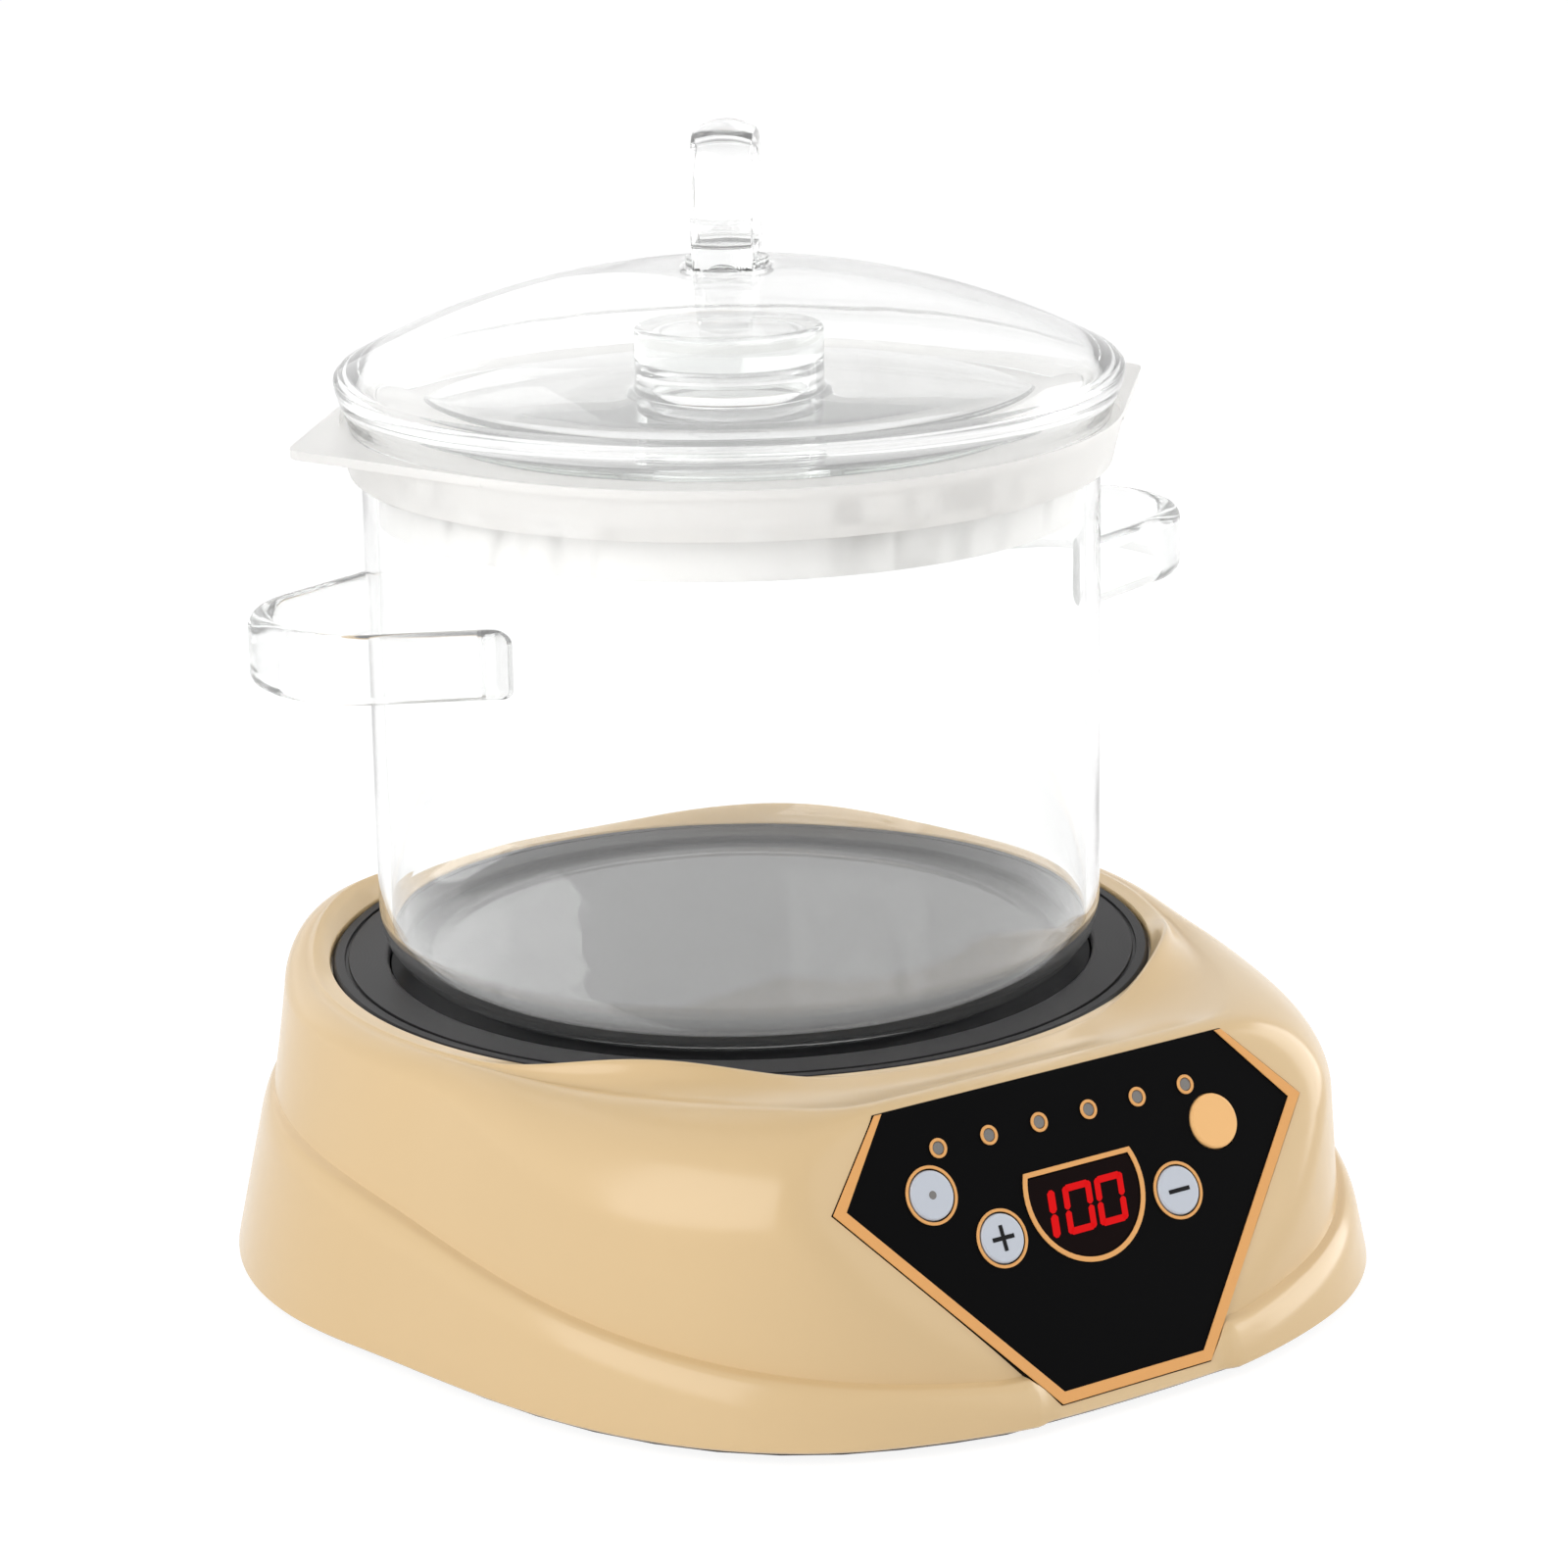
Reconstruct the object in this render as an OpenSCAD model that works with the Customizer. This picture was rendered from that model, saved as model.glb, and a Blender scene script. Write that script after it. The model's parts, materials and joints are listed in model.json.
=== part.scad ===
// Countertop stew pot: a moulded base with a round hob and a slanted key panel carries a glass pot,
// a frosted anti-spill collar, a flat inner lid and a domed outer lid. Millimetres, +Z up, keys face -Y.
// Heights in the modules are measured from the housing's lower edge, and radii from the pot's axis.

/* [Base housing] */
// Width of the base across its sides
base_w = 295; // [285:1:310]
// Reach of the base in front of the pot's axis
base_front = 181; // [177:1:190]
// Reach of the base behind the pot's axis
base_back = 135; // [132:1:150]
// Height of the hob ring above the housing's lower edge
ring_h = 72; // [68:1:80]
// Wall of the housing, measured outwards from the axis
housing_wall = 4; // [3.2:0.2:5]
// How far the skirt stands out from the wall above it
skirt_step = 4.2; // [2:0.2:6]
// Inward lean of the skirt for each millimetre of height
skirt_lean = 0.22; // [0.1:0.01:0.3]
// Height of the skirt's crease beside the key panel
crease_low = 11; // [9:0.5:16]
// Height of the skirt's crease round the back
crease_high = 43.5; // [42:0.5:50]
// Width of the rounded shoulder between the hob ring and the side wall
shoulder_w = 12.5; // [11:0.5:18]
// Rise of the front ledge above the hob ring
ledge_rise = 4; // [2.5:0.5:6]
// Rise of the two lip crests beside the key panel
front_crest = 6; // [0:0.5:8]
// Rise of the two lip crests at the rear
rear_crest = 5; // [0:0.5:7]
// Depth of the scooped fold under the front crests
fold_depth = 2.4; // [0:0.2:4]
// Height of the housing's lower edge above the table
stand_off = 3.2; // [2.6:0.2:5]

/* [Hob] */
// Diameter of the black hob ring
ring_d = 222.6; // [216:0.2:228]
// Thickness of the hob ring
ring_t = 3; // [2.4:0.2:4]
// Width of the ring's flat top, groove and bevel included
ring_w = 15.4; // [13:0.2:17]
// Depth of the heating plate below the ring's top
dish_depth = 2; // [1.4:0.2:2.2]
// Thickness of the heating plate
plate_t = 3; // [2.4:0.2:5]
// Depth of the heat reflector
reflector_depth = 16; // [13:1:22]
// Diameter of the tubular heating element
element_d = 6.4; // [5:0.2:8]
// Diameter of the element's loop
element_loop_d = 118; // [90:1:140]

/* [Key panel] */
// Slope of the key panel from the horizontal
panel_tilt = 63.5; // [61:0.5:66]
// Width of the panel's top edge
panel_top_w = 108; // [100:1:114]
// Width of the panel across its widest corners
panel_mid_w = 145.8; // [134:0.2:150]
// Width of the panel's bottom edge
panel_foot_w = 46.4; // [40:0.2:56]
// Distance of the widest corners from the top edge
panel_mid_drop = 21.1; // [18:0.1:26]
// Strip of housing left below the panel
panel_foot_gap = 3.5; // [3:0.5:6]
// Thickness of the panel plate
panel_t = 2; // [1.6:0.2:2.4]
// Width of the raised border trim
border_w = 2.9; // [2:0.1:4]
// Height of the raised trim on the panel's face
trim_t = 0.4; // [0.3:0.1:0.8]
// Diameter of the plus, minus and timer keys
key_d = 12.4; // [11:0.2:14]
// Diameter of the function key
function_d = 14.2; // [12:0.2:15]
// How far a key cap stands out of the panel
key_proud = 0.8; // [0.6:0.1:1.4]
// Travel of a key
key_travel = 0.5; // [0.3:0.1:0.8]
// Distance of the two lower keys from the panel's top edge
key_drop = 36.9; // [34:0.1:40]
// Space between two neighbouring keys
key_space = 9.6; // [7:0.1:11]
// Diameter of an indicator light
light_d = 3.2; // [2.6:0.2:4]
// Number of indicator lights
lights = 6; // [3:1:6]
// Radius of the display window's rounded foot
display_r = 16.5; // [15:0.5:17.5]
// Distance from the panel's face to the control board
board_depth = 12; // [11:0.5:14]

/* [Glass pot] */
// Outer diameter of the pot
pot_d = 196; // [188:1:199]
// Height of the pot
pot_h = 140; // [125:1:180]
// Thickness of the pot's wall
pot_wall = 3.6; // [3:0.2:5]
// Outer radius of the pot's bottom corner
pot_corner = 16; // [10:1:24]
// How far the pot is turned on its plate
pot_turn = -4; // [-20:1:20]
// Reach of an ear from the pot's wall
ear_reach = 40; // [34:1:48]
// Width of an ear at its roots
ear_w = 76; // [70:1:90]
// Width of an ear at its outer end
ear_end_w = 42; // [38:1:56]
// Height of an ear's strip
ear_h = 18; // [14:1:24]
// Thickness of an ear's strip
ear_t = 7; // [5:0.5:9]
// Height of the ears' middle above the pot's bottom
ear_mid = 101.5; // [60:0.5:108]

/* [Collar and lids] */
// Height of the collar above the pot's rim
collar_h = 11; // [9.5:0.5:14]
// Depth of the collar's skirt inside the pot
collar_skirt = 14; // [8:1:24]
// How far the collar is turned on the pot
collar_turn = -11; // [-30:1:30]
// Reach of a wing tip from the axis
wing_reach = 121; // [116:1:126]
// Thickness of a wing
wing_t = 2.4; // [1.8:0.2:3]
// Diameter of the flat inner lid
inner_lid_d = 162.8; // [156:0.2:170]
// Thickness of the inner lid
inner_lid_t = 4; // [3:0.5:5]
// Diameter of the inner lid's knob
knob_d = 50; // [40:1:60]
// Height of the knob's top above the inner lid's seat
knob_h = 23.4; // [18:0.2:25]
// Rise of the domed lid above its seat
dome_h = 40.4; // [38:0.2:50]
// Thickness of the domed lid
dome_t = 4; // [3:0.5:5]
// Height of the domed lid's loop handle
loop_h = 38; // [32:1:50]
// Length of the loop handle
loop_l = 31; // [28:1:44]
// Width of the loop handle's strip
loop_w = 16; // [13:1:22]
// Thickness of the loop handle's strip
loop_t = 5.2; // [4:0.2:6]
// How far the domed lid is turned
lid_turn = -40; // [-90:1:90]

/* [Inside the base] */
// Thickness of the bottom plate
bottom_t = 2.4; // [2:0.2:3.2]
// Thickness of the circuit boards
pcb_t = 1.6; // [1.2:0.2:2]
// Width of the power board
power_w = 96; // [88:1:104]
// Length of the power board
power_l = 44; // [42:1:50]
// Height of the power board above the bottom plate
power_lift = 9; // [6:0.5:12]
// Diameter of the housing's screw bosses
boss_d = 9; // [7:0.5:10]
// Diameter of a screw's shank
screw_d = 2.8; // [2.4:0.1:3.2]
// Diameter of a rubber foot
foot_d = 20; // [14:1:24]
// Width of the mains inlet's socket
inlet_w = 24.4; // [22:0.2:26]
// Height of the mains inlet's socket
inlet_h = 16.4; // [15:0.2:18]
// Depth of the mains inlet's socket
inlet_depth = 17; // [15:0.5:19]
// Height of the mains inlet's middle above the housing's lower edge
inlet_mid = 22; // [19:0.5:25]

/* [Hidden] */
$fn = 96;

// Clearances: faces that rest on each other, pieces dropped into pockets, keys, lights and screws in
// their holes. A cut runs past the face it opens by overrun, and joined shapes sink in by weld.
seat_gap = 0.05;
pocket_gap = 0.3;
key_gap = 0.3;
light_gap = 0.1;
screw_gap = 0.3;
overrun = 1;
weld = 0.6;

// Straight pieces that stand for a rounded edge, a bend and a display's foot
edge_steps = 4;
bend_steps = 8;
display_steps = 40;
ball_sides = 200;

// Housing surface, worked out from the azimuth: 0 faces the keys, 180 the rear, both sides alike.
// Values named from and to are the azimuths over which a form fades.
azimuths = 108;
front_bias = 22;
skirt_rows = 6;
wall_rows = 6;
shoulder_rows = 7;
lobe_from = 22.5;
lobe_to = 77;
tail_from = 84;
tail_to = 136;
wall_lobe_from = 21;
wall_lobe_to = 76;
shoulder_lobe_from = 2;
shoulder_lobe_to = 69;
rise_from = 38;
rise_to = 76;
ledge_from = 20;
ledge_to = 60;
valley_from = 30;
valley_to = 80;
step_fade_from = 80;
step_fade_to = 125;
rear_step_share = 0.35;
skirt_growth = 4.5;
crease_climb = 80;
crease_bend = 1.15;
crease_settle = 0.2;
skirt_round = 7;
foot_round = 1.6;
crease_gap = 0.5;
ledge_front = 5;
side_round = 5.5;
front_round = 25.5;
blend_low = 3.5;
blend_high = 6;
front_wall_in = 9;
front_shoulder_in = 16;
plane_in = 2.9;
panel_top_in = 0.9;
no_plane_from = 80;
front_crest_at = 44;
front_crest_span = 25;
rear_crest_at = 140;
rear_crest_span = 34;
rear_swell = 0.8;
crest_out = 5;
crest_fall = 2;
crest_base = 0.6;
lip_edge = 0.3;
valley_depth = 1.6;
fold_from = 36;
fold_to = 66;
fold_low = 57;
fold_top = 6;
fold_bend = 2.2;
fold_start = 16;
fold_stop = 4;
fold_soft = 5;
fold_fade = 8;
skirt_round_at = [30, 55, 78];
skirt_tuck = 0.75;
wall_crowding = 1.3;
lip_shares = [[0.35, 0.2], [0.7, 0.6]];
crest_share = 0.7;
ring_gap = 0.5;
ledge_w = 7;
ledge_t = 2.6;
ring_r = ring_d / 2;
opening_r = ring_r + ring_gap;
ledge_r = opening_r - ledge_w;
seat_h = ring_h - ring_t;
ceiling_h = seat_h - ledge_t;
side_top_r = ring_r + shoulder_w;
front_top_r = base_front - front_wall_in;
plane_foot = base_front - plane_in;
plane_run = 1 / tan(panel_tilt);
panel_top_h = ring_h + ledge_rise - panel_top_in;
panel_top_y = plane_foot - panel_top_h * plane_run;
panel_len = (panel_top_h - panel_foot_gap) / sin(panel_tilt);
skirt_end = atan(panel_foot_w / 2 / plane_foot);
skirt_full = skirt_end + skirt_growth;

function clamp01(t) = min(1, max(0, t));
function ease(t) = let (c = clamp01(t)) c * c * (3 - 2 * c);
function fall(a, from, to) = 0.5 * (1 + cos(180 * clamp01((a - from) / (to - from))));
function bump(a, at, span) = fall(abs(a - at), 0, span);
function mix(p, q, t) = p + (q - p) * t;
function soft_min(p, q, k) = min(p, q) - pow(max(k - abs(p - q), 0), 2) / (4 * k);
function turned(i) = let (t = 360 * i / azimuths) t - front_bias * sin(t);
function folded(t) = min(t, 360 - t);

function foot_r(a) = base_w / 2 + (base_front - base_w / 2) * fall(a, lobe_from, lobe_to)
    + (base_back - base_w / 2) * (1 - fall(a, tail_from, tail_to));
function skirt_on(a) = ease((a - skirt_end) / skirt_growth);
function step_at(a) = skirt_on(a) * skirt_step
    * mix(rear_step_share, 1, fall(a, step_fade_from, step_fade_to));
function crease_share(a) = let (t = soft_min((a - skirt_full) / crease_climb, 1, crease_settle))
    pow(max(0, t), crease_bend);
function crease_h(a) = max(skirt_round + foot_round + crease_gap,
    skirt_on(a) * mix(crease_low, crease_high, crease_share(a)));
function lean_r(a, h) = foot_r(a) - skirt_lean * h;
function blend(h) = mix(blend_low, blend_high, h / ring_h);
function plane_r(a, h) = a < no_plane_from
    ? (panel_top_y + (panel_top_h - h) * plane_run) / cos(a) : 2 * base_w;
function wall_top_r(a) = mix(side_top_r, front_top_r, fall(a, wall_lobe_from, wall_lobe_to));
function side_shoulder_r(a) = mix(side_top_r - side_round, front_top_r - front_shoulder_in,
    fall(a, shoulder_lobe_from, shoulder_lobe_to));
function shoulder_r(a) = a < no_plane_from
    ? soft_min((panel_top_y - ledge_front) / cos(a), side_shoulder_r(a), blend_high) : side_shoulder_r(a);
function shoulder_rise(a) = mix(side_round, front_round, fall(a, rise_from, rise_to));
function top_h(a) = ring_h + ledge_rise * fall(a, ledge_from, ledge_to)
    + rear_swell * rear_crest * bump(a, rear_crest_at, rear_crest_span);
function lip_h(a) = ring_h + crest_base + front_crest * bump(a, front_crest_at, front_crest_span)
    + rear_crest * bump(a, rear_crest_at, rear_crest_span);
function loft_r(a, h) = let (c = crease_h(a))
    mix(lean_r(a, c) - step_at(a), wall_top_r(a), (h - c) / (ring_h - c));
function round_in(a, h) = let (s = clamp01((h - top_h(a)) / shoulder_rise(a) + 1))
    (loft_r(a, h) - shoulder_r(a)) * (1 - sqrt(max(0, 1 - s * s)));
function fold_line(a) = mix(fold_low, ring_h + fold_top,
    pow(clamp01((a - fold_from) / (fold_to - fold_from)), fold_bend));
function fold_in(a, h) = fold_depth * ease((a - fold_from) / fold_start) * ease((fold_to - a) / fold_stop)
    * ease((h - fold_line(a)) / fold_soft) * ease((ring_h + fold_fade - fold_top - h) / fold_fade);
function wall_r(a, h) = soft_min(plane_r(a, h), loft_r(a, h) - round_in(a, h), blend(h)) - fold_in(a, h);
function skirt_r(a, h) = mix(wall_r(a, h), lean_r(a, h), skirt_on(a));
function inner_r(a, h) = h < crease_h(a)
    ? min(lean_r(a, h) - step_at(a), plane_r(a, h)) - housing_wall : wall_r(a, h) - housing_wall;

function skirt_path(a) = let (top = crease_h(a), edge = skirt_r(a, top), root = wall_r(a, top))
    concat([[skirt_r(a, 0) - foot_round, 0]],
        [for (j = [0:skirt_rows - 3]) let (h = mix(foot_round, top - skirt_round, j / (skirt_rows - 3)))
            [skirt_r(a, h), h]],
        [for (s = skirt_round_at)
            [mix(edge, root, skirt_tuck * (1 - cos(s))), top - skirt_round * (1 - sin(s))]]);
function wall_path(a) = let (from = crease_h(a) + crease_gap, to = top_h(a) - shoulder_rise(a))
    [for (j = [0:wall_rows - 1]) let (h = mix(from, to, pow(j / wall_rows, wall_crowding)))
        [wall_r(a, h), h]];
function shoulder_path(a) = [for (j = [0:shoulder_rows])
    let (h = top_h(a) - shoulder_rise(a) * (1 - sin(90 * j / shoulder_rows))) [wall_r(a, h), h]];
function lip_path(a) = let (crest_r = ring_r + crest_out, out_r = wall_r(a, top_h(a)),
        dip = valley_depth * fall(a, valley_from, valley_to))
    concat([for (s = lip_shares) [mix(out_r, crest_r, s[0]), mix(top_h(a), lip_h(a), s[1]) - dip]],
        [[crest_r, lip_h(a)],
        [crest_r - crest_fall, mix(ring_h, lip_h(a), crest_share)],
        [opening_r + lip_edge, ring_h + lip_edge],
        [opening_r, ring_h - lip_edge],
        [opening_r, seat_h],
        [ledge_r, seat_h],
        [ledge_r, ceiling_h]]);
function inner_path(a) = let (c = crease_h(a))
    [for (h = [ceiling_h, (c + ceiling_h) / 2, c, 0]) [inner_r(a, h), h]];
function section(a) = concat(skirt_path(a), wall_path(a), shoulder_path(a), lip_path(a), inner_path(a));
function reach(a) = max([for (p = section(a)) p[0]]);

rim_points = len(section(0));
front_reach = max([for (i = [0:azimuths - 1]) reach(folded(turned(i))) * cos(turned(i))]);
axis_y = (front_reach - reach(180)) / 2;

// Hob stack, from the ring down to the reflector's floor
ring_edge = 1.2;
groove_in = 3.4;
groove_w = 1;
groove_depth = 0.8;
bevel = 0.9;
plate_top = ring_h - dish_depth;
plate_bottom = plate_top - plate_t;
dish_r = ring_r - ring_w;
flange_gap = 2;
flange_r = ledge_r - flange_gap;
sheet_t = 0.8;
reflector_top = plate_bottom - seat_gap;
reflector_floor = plate_bottom - reflector_depth;
reflector_in = 6;
reflector_r = dish_r - reflector_in;
brim_in = 1;
brim_r = flange_r - brim_in;
element_sides = 32;
reflector_slope = 8;
element_sweep = 330;
element_start = -75;
terminal_in = 4;
terminal_d = 4;
terminal_l = 8;
terminal_gap = 0.6;
probe_r = 6.5;
probe_t = 6;
stem_r = 3;
stem_gap = 1;
stem_tail = 6;
spring_wire = 1.2;
spring_turns = 4;
spring_rings = 12;
spring_sides = 6;
probe_foot = plate_bottom - probe_t;
cutout_at = [34, -12];
cutout_d = 16;
cutout_t = 6;
tab_l = 8;
tab_w = 4;
tab_t = 0.8;
tab_pitch = 8;

// Bottom plate, bosses, posts and feet, as azimuth and radius
plate_lip_t = 1.2;
plate_lip_in = 3;
front_boss_out = 16;
rear_boss_out = 1.5;
front_foot_in = 42;
rear_foot_in = 32;
front_boss_at = 55;
rear_boss_at = 130;
front_foot_at = 42;
rear_foot_at = 138;
post_r = 68;
rear_post_r = 46;
side_post_at = 60;
boss_places = [[front_boss_at, ring_r + front_boss_out], [rear_boss_at, ring_r + rear_boss_out]];
foot_places = [[front_foot_at, base_front - front_foot_in], [rear_foot_at, base_back - rear_foot_in]];
post_places = [[-side_post_at, post_r], [180, rear_post_r], [side_post_at, post_r]];
post_d = 8;
slot_count = 7;
slot_pitch = 9;
slot_l = 44;
slot_w = 3.2;
slot_y = -10;
screw_l = 12;
head_d = 6.4;
head_t = 1.8;
head_sink = 0.2;
cross_l = 3.2;
cross_w = 0.8;
cup_in = 4;
cup_depth = 0.8;

// The inlet in the rear wall, and the power board in front of it
inlet_flange = 3.6;
inlet_flange_t = 2;
inlet_shell_t = 1.6;
inlet_recess = 2;
inlet_pad_t = 3;
inlet_pad_rim = 1;
inlet_chamfer = 5;
inlet_corner = 1;
inlet_top = inlet_mid + inlet_h / 2 + inlet_flange;
inlet_face = lean_r(180, inlet_top) - inlet_recess;
pin_w = 4;
pin_t = 2;
pin_l = 14;
pin_places = [[-7, 1], [0, 5], [7, 1]];
power_gap = 4;
power_y = inlet_face - inlet_depth - power_gap - power_l;
power_h = bottom_t + power_lift;
power_top = power_h + pcb_t;
standoff_d = 6;
relay_at = [-38, 10];
relay_size = [20, 16, 17];
capacitor_at = [-8, 12];
capacitor_size = [19, 9, 15];
transformer_at = [16, 18];
transformer_size = [26, 22, 21];
winding_in = 3;
flange_share = 5;

// Panel pieces, across the panel, up its slope from the top edge and out of its face
panel_ledge = 8;
panel_reach = 20;
border_in = 0.2;
border_tip_w = 1.6;
bezel_gap = 0.3;
bezel_w = 1.3;
ring_trim_w = 0.8;
trim_gap = 0.1;
trim_space = 2.65;
key_flange = 1.3;
key_flange_t = 1.2;
key_edge = 0.4;
key_climb = 41.3;
stem_d = 5;
key_stem_l = 4.5;
switch_w = 6;
display_top = -24.7;
display_mid = -30.6;
digit_drop = 4.5;
digit_w = 26;
digit_h = 18;
digit_gap = 0.5;
light_inset = 5.5;
light_space = 2.15;
light_trim_w = 0.9;
key_r = key_d / 2;
key_trim_r = key_r + key_gap + trim_gap + ring_trim_w;
light_trim_r = light_d / 2 + light_trim_w;
bezel_r = display_r + bezel_gap + bezel_w;
key_x = sqrt(pow(bezel_r + trim_space + key_trim_r, 2) - pow(key_drop + display_mid, 2));
outer_key_x = key_x + (key_d + key_space) * cos(key_climb);
outer_key_drop = key_drop - (key_d + key_space) * sin(key_climb);
key_places = [["plus", -key_x, -key_drop, key_r], ["minus", key_x, -key_drop, key_r],
    ["timer", -outer_key_x, -outer_key_drop, key_r],
    ["function", outer_key_x, -outer_key_drop, function_d / 2]];
light_reach = key_trim_r + light_trim_r + light_space;
light_drop = outer_key_drop - sqrt(light_reach * light_reach - light_inset * light_inset);
light_pitch = 2 * (outer_key_x - light_inset) / (lights - 1);
panel_post_d = 5;
side_post_out = 5.3;
side_post_down = 6;
side_post = [(key_x + outer_key_x) / 2 + side_post_out, (key_drop + outer_key_drop) / 2 + side_post_down];
top_post_down = 4;
top_post_drop = light_drop + top_post_down;
low_post_x = 12;
low_post_down = 5.8;
low_post = [low_post_x, display_r - display_mid + low_post_down];
panel_posts = [[0, -top_post_drop], [-side_post[0], -side_post[1]], [side_post[0], -side_post[1]],
    [-low_post[0], -low_post[1]], [low_post[0], -low_post[1]]];
board_rim = 3;
board_half = outer_key_x + switch_w / 2 + board_rim;
board_top = 8;
board_mid = 34;
board_foot_rim = 4;
board_foot = low_post[1] + board_foot_rim;
board_foot_half = 24;
switch_h = board_depth - panel_t - pocket_gap - key_flange_t - key_stem_l - key_travel;
digit_t = board_depth - panel_t - digit_gap;

// Glass pot, collar and lids, from the plate up
pot_r = pot_d / 2;
pot_z = plate_top + seat_gap;
rim_h = pot_z + pot_h;
mouth_r = pot_r - pot_wall;
ear_corner = 19;
ear_root = 12;
collar_z = rim_h + seat_gap;
collar_gap = 1;
collar_wall = 2.2;
collar_flare = 3;
collar_grip = 2.5;
collar_edge = 1;
lip_t = 1;
lip_draft = 0.2;
lid_recess = 2.4;
shelf_t = 2.2;
shelf_w = 6.4;
skirt_gap = 0.8;
skirt_t = 2.2;
collar_r = pot_r + collar_gap + collar_wall;
collar_top_r = collar_r + collar_flare;
shelf_h = collar_h - lid_recess;
shelf_r = inner_lid_d / 2 - shelf_w;
wing_tip_r = 7;
wing_steps = 8;
lid_z = collar_z + shelf_h + seat_gap;
lid_r = inner_lid_d / 2;
lid_edge = 1.4;
lid_crown = 2.6;
knob_r = knob_d / 2;
knob_wall = 4.5;
knob_cap = 9.6;
knob_edge = 1.6;
knob_fillet = 2;
hollow_r = 4;
dome_lip_gap = 2.2;
dome_out = 3.6;
dome_seat_r = collar_top_r - lip_t - lip_draft - dome_lip_gap;
dome_r = dome_seat_r + dome_out;
dome_bulge_h = 12.6;
dome_edge_h = 14.6;
dome_edge_in = 1.2;
dome_steps = 12;
side_steps = 6;
cap_r = dome_r - dome_edge_in;
cap_h = dome_h - dome_edge_h;
dome_ball = (cap_r * cap_r + cap_h * cap_h) / (2 * cap_h);
dome_centre = dome_h - dome_ball;
loop_foot_d = 22;
loop_foot_t = 2.4;
loop_sink = 3;
loop_neck = 9;
loop_swell = 14;
loop_base = 6;
loop_hip_r = 9;
loop_crown_r = 13;
loop_inner_r = 3;

function arc(cx, cy, r, from, to, steps) = [for (i = [0:steps]) let (t = mix(from, to, i / steps))
    [cx + r * cos(t), cy + r * sin(t)]];
function unit(v) = v / norm(v);
function corner(p, before, after, r, steps) = r <= 0 ? [p] :
    let (u = unit(before - p), v = unit(after - p), half = acos(u * v) / 2,
        c = p + unit(u + v) * r / sin(half), s = p + u * r / tan(half) - c,
        e = p + v * r / tan(half) - c, from = atan2(s[1], s[0]),
        turn = atan2(e[1], e[0]) - from, sweep = turn > 180 ? turn - 360 : turn < -180 ? turn + 360 : turn)
    arc(c[0], c[1], r, from, from + sweep, steps);
function rounded(pts, radii, steps = bend_steps) = let (n = len(pts)) [for (i = [0:n - 1])
    each corner(pts[i], pts[(i + n - 1) % n], pts[(i + 1) % n], radii[i], steps)];
function inset(pts, d) = let (n = len(pts)) [for (i = [0:n - 1])
    let (p = pts[i], u = unit(pts[(i + n - 1) % n] - p), v = unit(pts[(i + 1) % n] - p))
        p + unit(u + v) * d / sin(acos(u * v) / 2)];
function panel_outline(grow = 0) = let (t = panel_top_w / 2, m = panel_mid_w / 2, f = panel_foot_w / 2)
    inset([[-t, 0], [t, 0], [m, -panel_mid_drop], [f, -panel_len], [-f, -panel_len], [-m, -panel_mid_drop]],
        -grow);
function display_outline(grow = 0) =
    let (r = display_r + grow, from = asin((display_top + grow - display_mid) / r))
    arc(0, display_mid, r, 180 - from, 360 + from, display_steps);
function light_x(i) = (i - (lights - 1) / 2) * light_pitch;
function dome_side(z) = mix(dome_seat_r, dome_r, ease(z / dome_bulge_h));
function cap_z(r, ball) = dome_centre + sqrt(ball * ball - r * r);
function lid_top(r) = inner_lid_t + lid_crown * (1 - pow(r / lid_r, 2));

// Places: the pot's axis at the housing's lower edge, an azimuth on a circle, the panel's top edge,
// a height on the axis with a turn, and the power board's top
module at_axis() {
    translate([0, axis_y, stand_off]) children();
}

module at_azimuth(a, r) {
    translate([r * sin(a), -r * cos(a), 0]) children();
}

module at_both(places) {
    for (p = places, side = [-1, 1])
        at_azimuth(side * p[0], p[1]) children();
}

module on_panel(out = 0) {
    at_axis()
        translate([0, -panel_top_y, panel_top_h])
            rotate([panel_tilt, 0, 0])
                translate([0, 0, out]) children();
}

module on_axis(h, turn) {
    at_axis()
        translate([0, 0, h])
            rotate(turn) children();
}

module on_power_board(at) {
    at_axis()
        translate([at[0], power_y + at[1], power_top + seat_gap]) children();
}

// A bar seen end on: centred across x and z, from y to y + deep
module bar(wide, deep, high) {
    translate([-wide / 2, 0, -high / 2]) cube([wide, deep, high]);
}

module ring_prism(outer, inner, h) {
    linear_extrude(h)
        difference() {
            circle(r = outer);
            circle(r = inner);
        }
}

module housing_loft() {
    points = [for (i = [0:azimuths - 1]) let (t = turned(i))
        each [for (p = section(folded(t))) [p[0] * sin(t), -p[0] * cos(t), p[1]]]];
    faces = [for (i = [0:azimuths - 1], j = [0:rim_points - 1])
        let (n = (i + 1) % azimuths, k = (j + 1) % rim_points, a = i * rim_points + j,
            b = n * rim_points + j, c = n * rim_points + k, d = i * rim_points + k)
        each (i < azimuths / 2 ? [[a, d, c], [a, c, b]] : [[a, d, b], [d, c, b]])];
    polyhedron(points = points, faces = faces, convexity = 6);
}

module housing() {
    color("wheat")
        difference() {
            at_axis()
                difference() {
                    union() {
                        housing_loft();
                        at_both(boss_places)
                            translate([0, 0, bottom_t + seat_gap])
                                cylinder(d = boss_d, h = ceiling_h - bottom_t + weld);
                        inlet_pad();
                    }
                    at_both(boss_places)
                        cylinder(d = screw_d + 2 * seat_gap, h = bottom_t + screw_l + overrun);
                    inlet_cut();
                }
            on_panel(-panel_t)
                linear_extrude(panel_reach)
                    polygon(panel_outline(pocket_gap));
            on_panel(-panel_reach)
                linear_extrude(panel_reach)
                    polygon(panel_outline(-panel_ledge));
        }
}

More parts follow.
